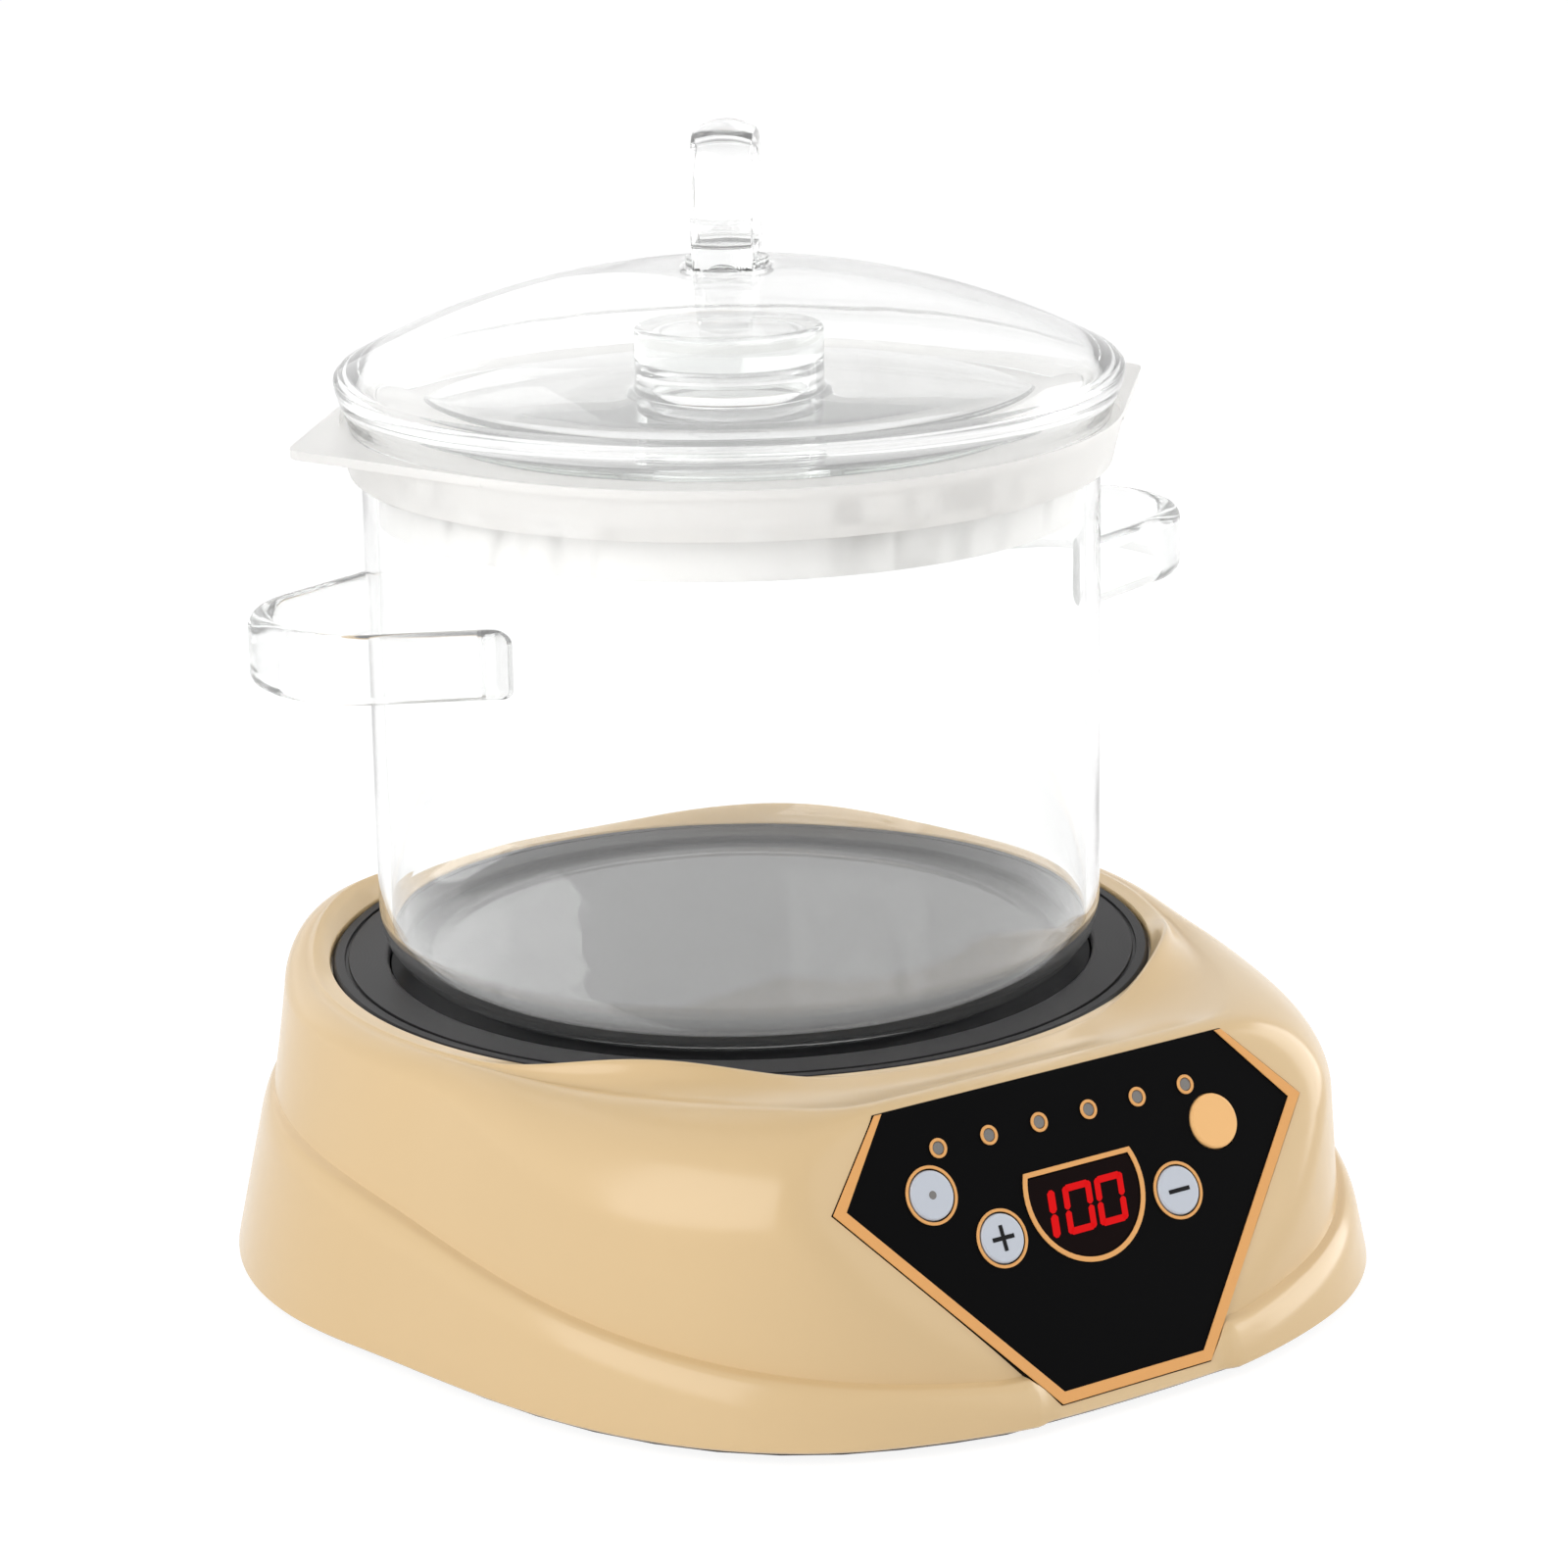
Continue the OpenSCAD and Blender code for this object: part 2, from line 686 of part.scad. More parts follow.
module inlet_pad() {
    rim = 2 * (inlet_flange + inlet_pad_rim);
    translate([0, inlet_face - inlet_pad_t, inlet_mid])
        bar(inlet_w + rim, inlet_pad_t, inlet_h + rim);
}

module inlet_cut() {
    rim = 2 * (inlet_flange + pocket_gap);
    shell = 2 * (inlet_shell_t + pocket_gap);
    translate([0, inlet_face, inlet_mid])
        bar(inlet_w + rim, base_back, inlet_h + rim);
    translate([0, inlet_face - inlet_depth, inlet_mid])
        bar(inlet_w + shell, base_back, inlet_h + shell);
}

// Outlines of the base seen from above, on every second azimuth of the housing's surface
module skirt_outline(inset) {
    polygon([for (i = [0:2:azimuths - 1]) let (t = turned(i), r = skirt_r(folded(t), 0) - inset)
        [r * sin(t), -r * cos(t)]]);
}

module inner_outline(inset) {
    polygon([for (i = [0:2:azimuths - 1])
        let (t = turned(i), r = min(inner_r(folded(t), 0), inner_r(folded(t), bottom_t)) - inset)
        [r * sin(t), -r * cos(t)]]);
}

module bottom_plate() {
    deep = plate_lip_t + bottom_t + 2 * overrun;
    color("dimgray")
        at_axis()
            translate([0, 0, -plate_lip_t])
                difference() {
                    union() {
                        linear_extrude(plate_lip_t - seat_gap) skirt_outline(plate_lip_in);
                        linear_extrude(plate_lip_t + bottom_t) inner_outline(2 * pocket_gap);
                    }
                    translate([0, 0, -overrun]) {
                        at_both(boss_places) {
                            cylinder(d = screw_d + 2 * screw_gap, h = deep);
                            cylinder(d = head_d + 2 * screw_gap, h = head_t + overrun);
                        }
                        for (i = [0:slot_count - 1])
                            translate([(i - (slot_count - 1) / 2) * slot_pitch, slot_y, 0])
                                vent_slot(deep);
                    }
                }
}

module vent_slot(deep) {
    translate([-slot_w / 2, -slot_l / 2, 0]) cube([slot_w, slot_l, deep]);
    for (end = [-1, 1])
        translate([0, end * slot_l / 2, 0]) cylinder(d = slot_w, h = deep);
}

module rubber_feet() {
    color("black")
        at_axis()
            at_both(foot_places)
                translate([0, 0, -stand_off])
                    difference() {
                        cylinder(d = foot_d, h = stand_off - plate_lip_t - seat_gap);
                        translate([0, 0, -overrun])
                            cylinder(d = foot_d - 2 * cup_in, h = cup_depth + overrun);
                    }
}

module housing_screws() {
    color("silver")
        at_axis()
            at_both(boss_places)
                translate([0, 0, head_t - plate_lip_t - seat_gap]) {
                    translate([0, 0, head_sink - head_t])
                        difference() {
                            cylinder(d = head_d, h = head_t - head_sink);
                            for (turn = [0, 90])
                                rotate(turn)
                                    translate([-cross_l / 2, -cross_w / 2, -overrun])
                                        cube([cross_l, cross_w, cross_w + overrun]);
                        }
                    cylinder(d = screw_d, h = screw_l);
                }
}

module hob_ring() {
    groove = ring_r - groove_in;
    color("#222226")
        at_axis()
            rotate_extrude()
                polygon(concat([[dish_r, seat_h + seat_gap]],
                    arc(dish_r + ring_edge, ring_h - ring_edge, ring_edge, 180, 90, edge_steps),
                    [[groove - groove_w, ring_h], [groove - groove_w, ring_h - groove_depth],
                        [groove, ring_h - groove_depth], [groove, ring_h],
                        [ring_r - bevel, ring_h], [ring_r, ring_h - bevel], [ring_r, seat_h + seat_gap]]));
}

module heating_plate() {
    flange_h = seat_h - seat_gap;
    color("#101012")
        at_axis()
            rotate_extrude()
                polygon([[0, plate_bottom], [flange_r, plate_bottom], [flange_r, flange_h],
                    [dish_r - pocket_gap, flange_h], [dish_r - pocket_gap, plate_top], [0, plate_top]]);
}

module at_terminals() {
    for (end = [terminal_in, element_sweep - terminal_in])
        rotate(element_start + end)
            translate([element_loop_d / 2, 0, reflector_floor - terminal_l]) children();
}

module heating_element() {
    mid = plate_bottom - element_d / 2 - seat_gap;
    color("gray")
        at_axis() {
            translate([0, 0, mid])
                rotate(element_start)
                    rotate_extrude(angle = element_sweep)
                        translate([element_loop_d / 2, 0]) circle(d = element_d, $fn = element_sides);
            at_terminals()
                cylinder(d = terminal_d, h = mid - reflector_floor + terminal_l);
        }
}

module heat_reflector() {
    foot = reflector_r - reflector_slope;
    hole = stem_r + stem_gap;
    color("lightgray")
        at_axis()
            difference() {
                rotate_extrude()
                    polygon([[hole, reflector_floor], [foot, reflector_floor],
                        [reflector_r + sheet_t, reflector_top - sheet_t], [brim_r, reflector_top - sheet_t],
                        [brim_r, reflector_top], [reflector_r, reflector_top],
                        [foot - sheet_t, reflector_floor + sheet_t], [hole, reflector_floor + sheet_t]]);
                at_terminals()
                    cylinder(d = terminal_d + 2 * terminal_gap, h = 2 * terminal_l);
            }
}

module reflector_posts() {
    color("ivory")
        at_axis()
            for (p = post_places)
                at_azimuth(p[0], p[1])
                    translate([0, 0, bottom_t + seat_gap])
                        cylinder(d = post_d, h = reflector_floor - bottom_t - 2 * seat_gap);
}

module temperature_probe() {
    tail = reflector_floor - stem_tail;
    color("silver")
        at_axis() {
            translate([0, 0, probe_foot]) cylinder(r = probe_r, h = probe_t - seat_gap);
            translate([0, 0, tail]) cylinder(r = stem_r, h = probe_foot - tail + weld);
        }
}

module probe_spring() {
    low = reflector_floor + sheet_t + spring_wire / 2 + seat_gap;
    high = probe_foot - spring_wire / 2 - seat_gap;
    mid_r = stem_r + stem_gap + spring_wire / 2;
    steps = spring_turns * spring_rings;
    sides = spring_sides;
    points = [for (i = [0:steps]) let (t = 360 * i / spring_rings, z = mix(low, high, i / steps))
        each [for (s = [0:sides - 1]) let (w = 360 * s / sides, r = mid_r + spring_wire / 2 * cos(w))
            [r * cos(t), r * sin(t), z + spring_wire / 2 * sin(w)]]];
    walls = [for (i = [0:steps - 1], s = [0:sides - 1])
        let (a = i * sides + s, b = i * sides + (s + 1) % sides)
        each [[a, b, b + sides], [a, b + sides, a + sides]]];
    last = steps * sides;
    ends = [for (s = [1:sides - 2]) each [[0, s + 1, s], [last, last + s, last + s + 1]]];
    color("silver")
        at_axis()
            polyhedron(points = points, faces = concat(walls, ends), convexity = 8);
}

module thermal_cutout() {
    color("tan")
        at_axis()
            translate([cutout_at[0], cutout_at[1], reflector_floor - seat_gap - cutout_t]) {
                cylinder(d = cutout_d, h = cutout_t);
                for (side = [-1, 1])
                    translate([(side * tab_pitch - tab_w) / 2, -tab_t / 2, weld - tab_l])
                        cube([tab_w, tab_t, tab_l]);
            }
}

module power_board() {
    color("darkgreen")
        at_axis()
            translate([-power_w / 2, power_y, power_h]) cube([power_w, power_l, pcb_t]);
}

module board_standoffs() {
    color("ivory")
        at_axis()
            for (x = [-1, 1], y = [standoff_d, power_l - standoff_d])
                translate([x * (power_w / 2 - standoff_d), power_y + y, bottom_t + seat_gap])
                    cylinder(d = standoff_d, h = power_lift - 2 * seat_gap);
}

module relay() {
    color("royalblue")
        on_power_board(relay_at) cube(relay_size);
}

module capacitor() {
    color("gold")
        on_power_board(capacitor_at) cube(capacitor_size);
}

module transformer() {
    flange = [transformer_size[0], transformer_size[1], transformer_size[2] / flange_share];
    color("darkgoldenrod")
        on_power_board(transformer_at) {
            cube(flange);
            translate([winding_in, winding_in, weld])
                cube(transformer_size - 2 * [winding_in, winding_in, weld]);
            translate([0, 0, transformer_size[2] - flange[2]]) cube(flange);
        }
}

module inlet_socket() {
    half = inlet_w / 2;
    top = inlet_h / 2;
    color("#1c1c1e")
        at_axis()
            translate([0, inlet_face + seat_gap, inlet_mid])
                difference() {
                    union() {
                        bar(inlet_w + 2 * inlet_flange, inlet_flange_t, inlet_h + 2 * inlet_flange);
                        translate([0, -inlet_depth, 0])
                            bar(inlet_w + 2 * inlet_shell_t, inlet_depth + weld, inlet_h + 2 * inlet_shell_t);
                    }
                    translate([0, inlet_flange_t + overrun, 0])
                        rotate([90, 0, 0])
                            linear_extrude(inlet_depth + overrun)
                                polygon(rounded([[-half, -top], [half, -top], [half, top - inlet_chamfer],
                                    [half - inlet_chamfer, top], [inlet_chamfer - half, top],
                                    [-half, top - inlet_chamfer]],
                                    [for (i = [1:6]) inlet_corner], edge_steps));
                }
}

module inlet_pins() {
    color("silver")
        at_axis()
            translate([0, inlet_face + inlet_flange_t - inlet_depth + 2 * seat_gap, inlet_mid])
                for (p = pin_places)
                    translate([p[0], 0, p[1]]) bar(pin_t, pin_l, pin_w);
}

module panel_plate() {
    color("#0c0c0e")
        on_panel(seat_gap - panel_t)
            difference() {
                union() {
                    linear_extrude(panel_t - seat_gap) polygon(panel_outline());
                    for (p = panel_posts)
                        translate([p[0], p[1], panel_t - board_depth])
                            cylinder(d = panel_post_d, h = board_depth - panel_t + weld);
                }
                translate([0, 0, -overrun]) {
                    for (k = key_places)
                        translate([k[1], k[2], 0])
                            cylinder(r = k[3] + key_gap, h = panel_t + 2 * overrun);
                    for (i = [0:lights - 1])
                        translate([light_x(i), -light_drop, 0])
                            cylinder(d = light_d + 2 * light_gap, h = panel_t + 2 * overrun);
                    linear_extrude(panel_t + 2 * overrun) polygon(display_outline(light_gap));
                }
            }
}

module panel_border() {
    outer = panel_outline(-border_in);
    inner = panel_outline(-border_in - border_w);
    edge = outer[2] - outer[1];
    end_x = outer[1][0] - border_tip_w * norm(edge) / abs(edge[1]);
    end_y = outer[1][1];
    color("sandybrown")
        on_panel(seat_gap)
            linear_extrude(trim_t)
                polygon([outer[1], outer[2], outer[3], outer[4], outer[5], outer[0], [-end_x, end_y],
                    inner[5], inner[4], inner[3], inner[2], [end_x, end_y]]);
}

module control_board() {
    color("darkgreen")
        on_panel(-board_depth - pcb_t)
            linear_extrude(pcb_t)
                polygon([[-board_half, -board_top], [board_half, -board_top], [board_half, -board_mid],
                    [board_foot_half, -board_foot], [-board_foot_half, -board_foot],
                    [-board_half, -board_mid]]);
}

module key_switches() {
    color("#2a2a2c")
        on_panel(seat_gap - board_depth)
            for (k = key_places)
                translate([k[1] - switch_w / 2, k[2] - switch_w / 2, 0])
                    cube([switch_w, switch_w, switch_h - 2 * seat_gap]);
}

module display_module() {
    color("#141416")
        on_panel(seat_gap - board_depth)
            translate([-digit_w / 2, display_mid - digit_drop - digit_h / 2, 0])
                cube([digit_w, digit_h, digit_t]);
}

module display_window() {
    color("#300808")
        on_panel(seat_gap - panel_t)
            linear_extrude(panel_t) polygon(display_outline());
}

module display_bezel() {
    color("sandybrown")
        on_panel(seat_gap)
            linear_extrude(trim_t)
                difference() {
                    polygon(display_outline(bezel_gap + bezel_w));
                    polygon(display_outline(bezel_gap));
                }
}

module indicator_lights() {
    color("lightgray")
        on_panel(seat_gap - panel_t)
            for (i = [0:lights - 1])
                translate([light_x(i), -light_drop, 0]) cylinder(d = light_d, h = panel_t + trim_t / 2);
}

module indicator_rings() {
    color("sandybrown")
        on_panel(seat_gap)
            for (i = [0:lights - 1])
                translate([light_x(i), -light_drop, 0])
                    ring_prism(light_trim_r, light_d / 2 + trim_gap, trim_t);
}

module key_rings() {
    color("sandybrown")
        on_panel(seat_gap)
            for (k = key_places)
                if (k[0] != "function")
                    translate([k[1], k[2], 0]) ring_prism(key_trim_r, key_r + key_gap + trim_gap, trim_t);
}

module key(name, shade) {
    place = [for (k = key_places) if (k[0] == name) k][0];
    r = place[3];
    back = -panel_t - pocket_gap;
    foot = back - key_flange_t;
    color(shade)
        on_panel()
            translate([place[1], place[2], 0]) {
                rotate_extrude()
                    polygon([[0, foot], [r + key_flange, foot], [r + key_flange, back], [r, back],
                        [r, key_proud - key_edge], [r - key_edge, key_proud], [0, key_proud]]);
                translate([0, 0, foot - key_stem_l]) cylinder(d = stem_d, h = key_stem_l + weld);
            }
}

module plus_key() {
    key("plus", "lightsteelblue");
}

module minus_key() {
    key("minus", "lightsteelblue");
}

module timer_key() {
    key("timer", "lightsteelblue");
}

module function_key() {
    key("function", "sandybrown");
}

module glass_pot() {
    bend = pot_r - pot_corner;
    color("azure", 0.4)
        on_axis(pot_z, pot_turn)
            rotate_extrude()
                polygon(concat([[0, 0]],
                    arc(bend, pot_corner, pot_corner, -90, 0, bend_steps),
                    arc(pot_r - pot_wall / 2, pot_h - pot_wall / 2, pot_wall / 2, 0, 180, bend_steps),
                    arc(bend, pot_corner, pot_corner - pot_wall, 0, -90, bend_steps),
                    [[0, pot_wall]]));
}

module ear(turn) {
    out = pot_r + ear_reach;
    root = pot_r - ear_root;
    tip = ear_end_w / 2;
    half = ear_w / 2 + (ear_w - ear_end_w) / 2 * ear_root / ear_reach;
    bend = ear_corner - ear_t;
    color("azure", 0.4)
        on_axis(pot_z + ear_mid - ear_h / 2, pot_turn + turn)
            difference() {
                linear_extrude(ear_h)
                    difference() {
                        polygon(rounded([[root, -half], [out, -tip], [out, tip], [root, half]],
                            [0, ear_corner, ear_corner, 0]));
                        polygon(rounded([[root - overrun, ear_t - half], [out - ear_t, ear_t - tip],
                            [out - ear_t, tip - ear_t], [root - overrun, half - ear_t]], [0, bend, bend, 0]));
                    }
                translate([0, 0, -overrun]) cylinder(r = pot_r + seat_gap, h = ear_h + 2 * overrun);
            }
}

module left_ear() {
    ear(180);
}

module right_ear() {
    ear(0);
}

module collar() {
    skirt_out = mouth_r - skirt_gap;
    skirt_in = skirt_out - skirt_t;
    touch = acos((collar_top_r - wing_tip_r) / (wing_reach - wing_tip_r));
    color("white", 0.85)
        on_axis(collar_z, collar_turn) {
            rotate_extrude()
                polygon([[shelf_r, shelf_h - shelf_t], [skirt_in, shelf_h - shelf_t],
                    [skirt_in, -collar_skirt], [skirt_out, -collar_skirt], [skirt_out, 0],
                    [collar_r - collar_wall, 0], [collar_r - collar_wall, -collar_grip],
                    [collar_r, -collar_grip],
                    [collar_top_r, collar_h - collar_edge], [collar_top_r, collar_h],
                    [collar_top_r - lip_t, collar_h], [collar_top_r - lip_t - lip_draft, shelf_h],
                    [shelf_r, shelf_h]]);
            for (side = [0, 180])
                rotate(side)
                    translate([0, 0, collar_h - wing_t])
                        linear_extrude(wing_t)
                            difference() {
                                polygon(concat([[0, 0], collar_top_r * [cos(touch), -sin(touch)]],
                                    arc(wing_reach - wing_tip_r, 0, wing_tip_r, -touch, touch, wing_steps),
                                    [collar_top_r * [cos(touch), sin(touch)]]));
                                circle(r = collar_top_r - lip_t);
                            }
        }
}

module inner_lid() {
    hollow = knob_r - knob_wall;
    hollow_top = knob_h - knob_cap;
    flat = lid_r - lid_edge;
    color("azure", 0.4)
        on_axis(lid_z, collar_turn)
            rotate_extrude()
                polygon(concat([[hollow, 0], [flat, 0], [lid_r, lid_edge], [lid_r, inner_lid_t - lid_edge]],
                    [for (i = [0:bend_steps]) let (r = mix(flat, knob_r + knob_fillet, i / bend_steps))
                        [r, lid_top(r)]],
                    [[knob_r, lid_top(knob_r) + knob_fillet]],
                    arc(knob_r - knob_edge, knob_h - knob_edge, knob_edge, 0, 90, edge_steps),
                    [[0, knob_h], [0, hollow_top]],
                    arc(hollow - hollow_r, hollow_top - hollow_r, hollow_r, 90, 0, edge_steps)));
}

module dome_lid() {
    hollow = dome_ball - dome_t;
    inside_r = cap_r - dome_t;
    side = [for (i = [0:side_steps]) dome_bulge_h * i / side_steps];
    cap = [for (i = [0:dome_steps]) i / dome_steps];
    color("azure", 0.4)
        on_axis(lid_z, lid_turn)
            rotate_extrude()
                polygon(concat([for (z = side) [dome_side(z), z]],
                    [for (s = cap) let (r = cap_r * (1 - s)) [r, cap_z(r, dome_ball)]],
                    [for (s = cap) let (r = inside_r * s) [r, cap_z(r, hollow)]],
                    [for (i = [side_steps - 2:-1:0]) [dome_side(side[i]) - dome_t, side[i]]]));
}

module lid_loop() {
    half = loop_l / 2;
    hole = half - loop_t;
    foot = dome_h - loop_sink;
    top = dome_h + loop_h;
    hip = dome_h + loop_swell;
    neck = loop_neck - loop_inner_r;
    base = dome_h + loop_base;
    crown = loop_crown_r - loop_t;
    color("azure", 0.4)
        on_axis(lid_z, lid_turn)
            difference() {
                union() {
                    translate([0, 0, foot]) cylinder(d = loop_foot_d, h = loop_sink + loop_foot_t);
                    translate([-loop_w / 2, 0, 0])
                        rotate([90, 0, 90])
                            linear_extrude(loop_w)
                                difference() {
                                    polygon(rounded([[-loop_neck, foot], [loop_neck, foot], [half, hip],
                                        [half, top], [-half, top], [-half, hip]],
                                        [0, 0, loop_hip_r, loop_crown_r, loop_crown_r, loop_hip_r]));
                                    polygon(rounded([[-neck, base], [neck, base], [hole, hip],
                                        [hole, top - loop_t], [-hole, top - loop_t], [-hole, hip]],
                                        [loop_inner_r, loop_inner_r, loop_inner_r, crown, crown,
                                            loop_inner_r]));
                                }
                }
                translate([0, 0, dome_centre]) sphere(r = dome_ball + seat_gap, $fn = ball_sides);
            }
}

housing();
bottom_plate();
rubber_feet();
housing_screws();
hob_ring();
heating_plate();
heating_element();
heat_reflector();
reflector_posts();
temperature_probe();
probe_spring();
thermal_cutout();
power_board();
board_standoffs();
relay();
capacitor();
transformer();
inlet_socket();
inlet_pins();
panel_plate();
panel_border();
control_board();
key_switches();
display_module();
display_window();
display_bezel();
indicator_lights();
indicator_rings();
key_rings();
plus_key();
minus_key();
timer_key();
function_key();
glass_pot();
left_ear();
right_ear();
collar();
inner_lid();
dome_lid();
lid_loop();
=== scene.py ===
"""Looks of a countertop stew pot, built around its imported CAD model. Metres, +Z up, keys face -Y."""

import json
import math

import bmesh
import bpy
from bpy.props import FloatProperty, FloatVectorProperty, IntProperty, PointerProperty
from bpy.types import Operator, Panel, PropertyGroup
from mathutils import Matrix, Vector

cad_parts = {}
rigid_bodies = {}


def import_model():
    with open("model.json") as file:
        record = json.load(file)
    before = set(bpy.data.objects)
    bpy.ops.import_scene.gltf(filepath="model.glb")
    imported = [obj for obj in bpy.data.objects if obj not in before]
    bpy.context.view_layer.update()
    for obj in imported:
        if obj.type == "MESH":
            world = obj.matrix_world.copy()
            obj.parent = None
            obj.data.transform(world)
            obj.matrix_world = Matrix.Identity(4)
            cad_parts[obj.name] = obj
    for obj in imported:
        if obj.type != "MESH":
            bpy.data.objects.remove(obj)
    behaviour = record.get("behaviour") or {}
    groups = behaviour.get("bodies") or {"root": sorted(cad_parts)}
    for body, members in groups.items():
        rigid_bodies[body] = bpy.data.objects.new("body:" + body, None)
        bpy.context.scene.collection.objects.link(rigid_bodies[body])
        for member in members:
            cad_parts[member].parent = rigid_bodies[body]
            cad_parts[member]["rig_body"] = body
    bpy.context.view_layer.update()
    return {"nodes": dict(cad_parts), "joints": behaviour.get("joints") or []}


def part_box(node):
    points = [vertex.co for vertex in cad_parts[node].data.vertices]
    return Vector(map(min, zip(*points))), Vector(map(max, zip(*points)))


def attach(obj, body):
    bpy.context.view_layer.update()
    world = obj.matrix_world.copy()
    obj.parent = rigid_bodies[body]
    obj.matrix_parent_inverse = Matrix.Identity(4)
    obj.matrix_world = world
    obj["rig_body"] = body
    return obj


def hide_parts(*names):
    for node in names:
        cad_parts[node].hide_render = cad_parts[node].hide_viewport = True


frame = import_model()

bl_info = {
    "name": "Stew pot looks",
    "version": (1, 0, 0),
    "blender": (4, 5, 0),
    "location": "3D View > Sidebar > Stew pot",
    "description": "Dresses the stew pot's frame: housing, hob, key panel, glassware and stage",
    "category": "Object",
}

MM = 0.001
HOB_LOW, HOB_HIGH = (Vector(c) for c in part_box("heating_plate"))
AXIS = Vector(((HOB_LOW.x + HOB_HIGH.x) / 2, (HOB_LOW.y + HOB_HIGH.y) / 2, 0.0))
BASE_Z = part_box("housing")[0][2]
PRESS = next(j for j in frame["joints"] if j["name"] == "plus_press")
PANEL_OUT = -Vector(PRESS["axis"]).normalized()
PANEL_ACROSS = Vector((1.0, 0.0, 0.0))
PANEL_UP = PANEL_OUT.cross(PANEL_ACROSS)


def clamp01(t):
    return min(1.0, max(0.0, t))


def ease(t):
    c = clamp01(t)
    return c * c * (3 - 2 * c)


def fall(a, start, end):
    """1 up to a start, 0 from an end on, and a half wave between them."""
    return 0.5 * (1 + math.cos(math.pi * clamp01((a - start) / (end - start))))


def bump(a, at, span):
    """A rounded hill of height 1."""
    return fall(abs(a - at), 0, span)


def mix(p, q, t):
    return p + (q - p) * t


def soft_min(p, q, k):
    """The lesser of two values, rounded where they meet."""
    return min(p, q) - max(k - abs(p - q), 0) ** 2 / (4 * k)


def cosd(a):
    return math.cos(math.radians(a))


def sind(a):
    return math.sin(math.radians(a))


class ShellForm:
    """The housing's surface, by degrees round from the keys and millimetres up from its lower edge."""

    width, front, back, ring_h, wall = 295.0, 181.0, 135.0, 72.0, 4.0
    skirt_step, skirt_lean, crease_low, crease_high = 4.2, 0.22, 11.0, 43.5
    ledge_rise, front_crest, rear_crest = 4.0, 6.0, 5.0
    fold_rise, fold_reach, fold_soft = 0.7, 16.0, 1.5
    ring_r, side_top_r, front_top_r, seat_h, ceiling_h = 111.3, 123.8, 172.0, 69.0, 66.4
    opening_r, ledge_r, lip_edge, crest_out, crest_fall = 111.8, 104.8, 0.3, 5.0, 2.0
    tilt, foot_w, front_bias, foot_round, skirt_round, skirt_tuck = 63.5, 46.4, 22.0, 1.6, 7.0, 0.75
    blend_low, blend_high, side_round, front_round, front_in = 3.5, 6.0, 5.5, 25.5, 16.0
    plane_in, panel_drop, panel_back, lip_rise, lip_dip, rear_share = 2.9, 0.9, 5.0, 0.6, 1.6, 0.8
    skirt_growth, step_least, crease_start, crease_run, crease_soft, crease_bend = 2.6, 0.35, 4.5, 80, 0.2, 1.15
    fold_low, fold_over, fold_start, fold_run, fold_bend, fold_from, fold_fade = 57, 6, 36, 30, 2.2, 40, 16
    # where each fade begins and ends, in degrees
    foot_fade, heel_fade, step_fade = (22.5, 77), (84, 136), (80, 125)
    top_fade, shoulder_fade, round_fade = (21, 76), (2, 69), (38, 76)
    ledge_fade, dip_fade, plane_end = (20, 60), (30, 80), 80
    # the middle and half span of each crest, in degrees
    front_hill, rear_hill = (44, 25), (140, 34)

    def __init__(self):
        self.plane_foot = self.front - self.plane_in
        self.run = 1 / math.tan(math.radians(self.tilt))
        self.panel_top_h = self.ring_h + self.ledge_rise - self.panel_drop
        self.panel_top_y = self.plane_foot - self.panel_top_h * self.run
        self.skirt_end = math.degrees(math.atan(self.foot_w / 2 / self.plane_foot))

    def foot_r(self, a):
        side = self.width / 2
        return (side + (self.front - side) * fall(a, *self.foot_fade)
                + (self.back - side) * (1 - fall(a, *self.heel_fade)))

    def skirt_on(self, a):
        return ease((a - self.skirt_end) / self.skirt_growth)

    def step_at(self, a):
        return self.skirt_on(a) * self.skirt_step * mix(self.step_least, 1, fall(a, *self.step_fade))

    def crease_h(self, a):
        climb = soft_min((a - self.skirt_end - self.crease_start) / self.crease_run, 1, self.crease_soft)
        share = max(0, climb) ** self.crease_bend
        least = self.skirt_round + self.foot_round + 0.5
        return max(least, self.skirt_on(a) * mix(self.crease_low, self.crease_high, share))

    def lean_r(self, a, h):
        return self.foot_r(a) - self.skirt_lean * h

    def plane_r(self, a, h):
        if a >= self.plane_end:
            return 2 * self.width
        return (self.panel_top_y + (self.panel_top_h - h) * self.run) / cosd(a)

    def wall_top_r(self, a):
        return mix(self.side_top_r, self.front_top_r, fall(a, *self.top_fade))

    def shoulder_r(self, a):
        side = mix(self.side_top_r - self.side_round, self.front_top_r - self.front_in,
                   fall(a, *self.shoulder_fade))
        if a >= self.plane_end:
            return side
        return soft_min((self.panel_top_y - self.panel_back) / cosd(a), side, self.blend_high)

    def shoulder_rise(self, a):
        return mix(self.side_round, self.front_round, fall(a, *self.round_fade))

    def top_h(self, a):
        return (self.ring_h + self.ledge_rise * fall(a, *self.ledge_fade)
                + self.rear_share * self.rear_crest * bump(a, *self.rear_hill))

    def lip_h(self, a):
        return (self.ring_h + self.lip_rise + self.front_crest * bump(a, *self.front_hill)
                + self.rear_crest * bump(a, *self.rear_hill))

    def loft_r(self, a, h):
        c = self.crease_h(a)
        return mix(self.lean_r(a, c) - self.step_at(a), self.wall_top_r(a), (h - c) / (self.ring_h - c))

    def round_in(self, a, h):
        s = clamp01((h - self.top_h(a)) / self.shoulder_rise(a) + 1)
        return (self.loft_r(a, h) - self.shoulder_r(a)) * (1 - math.sqrt(max(0, 1 - s * s)))

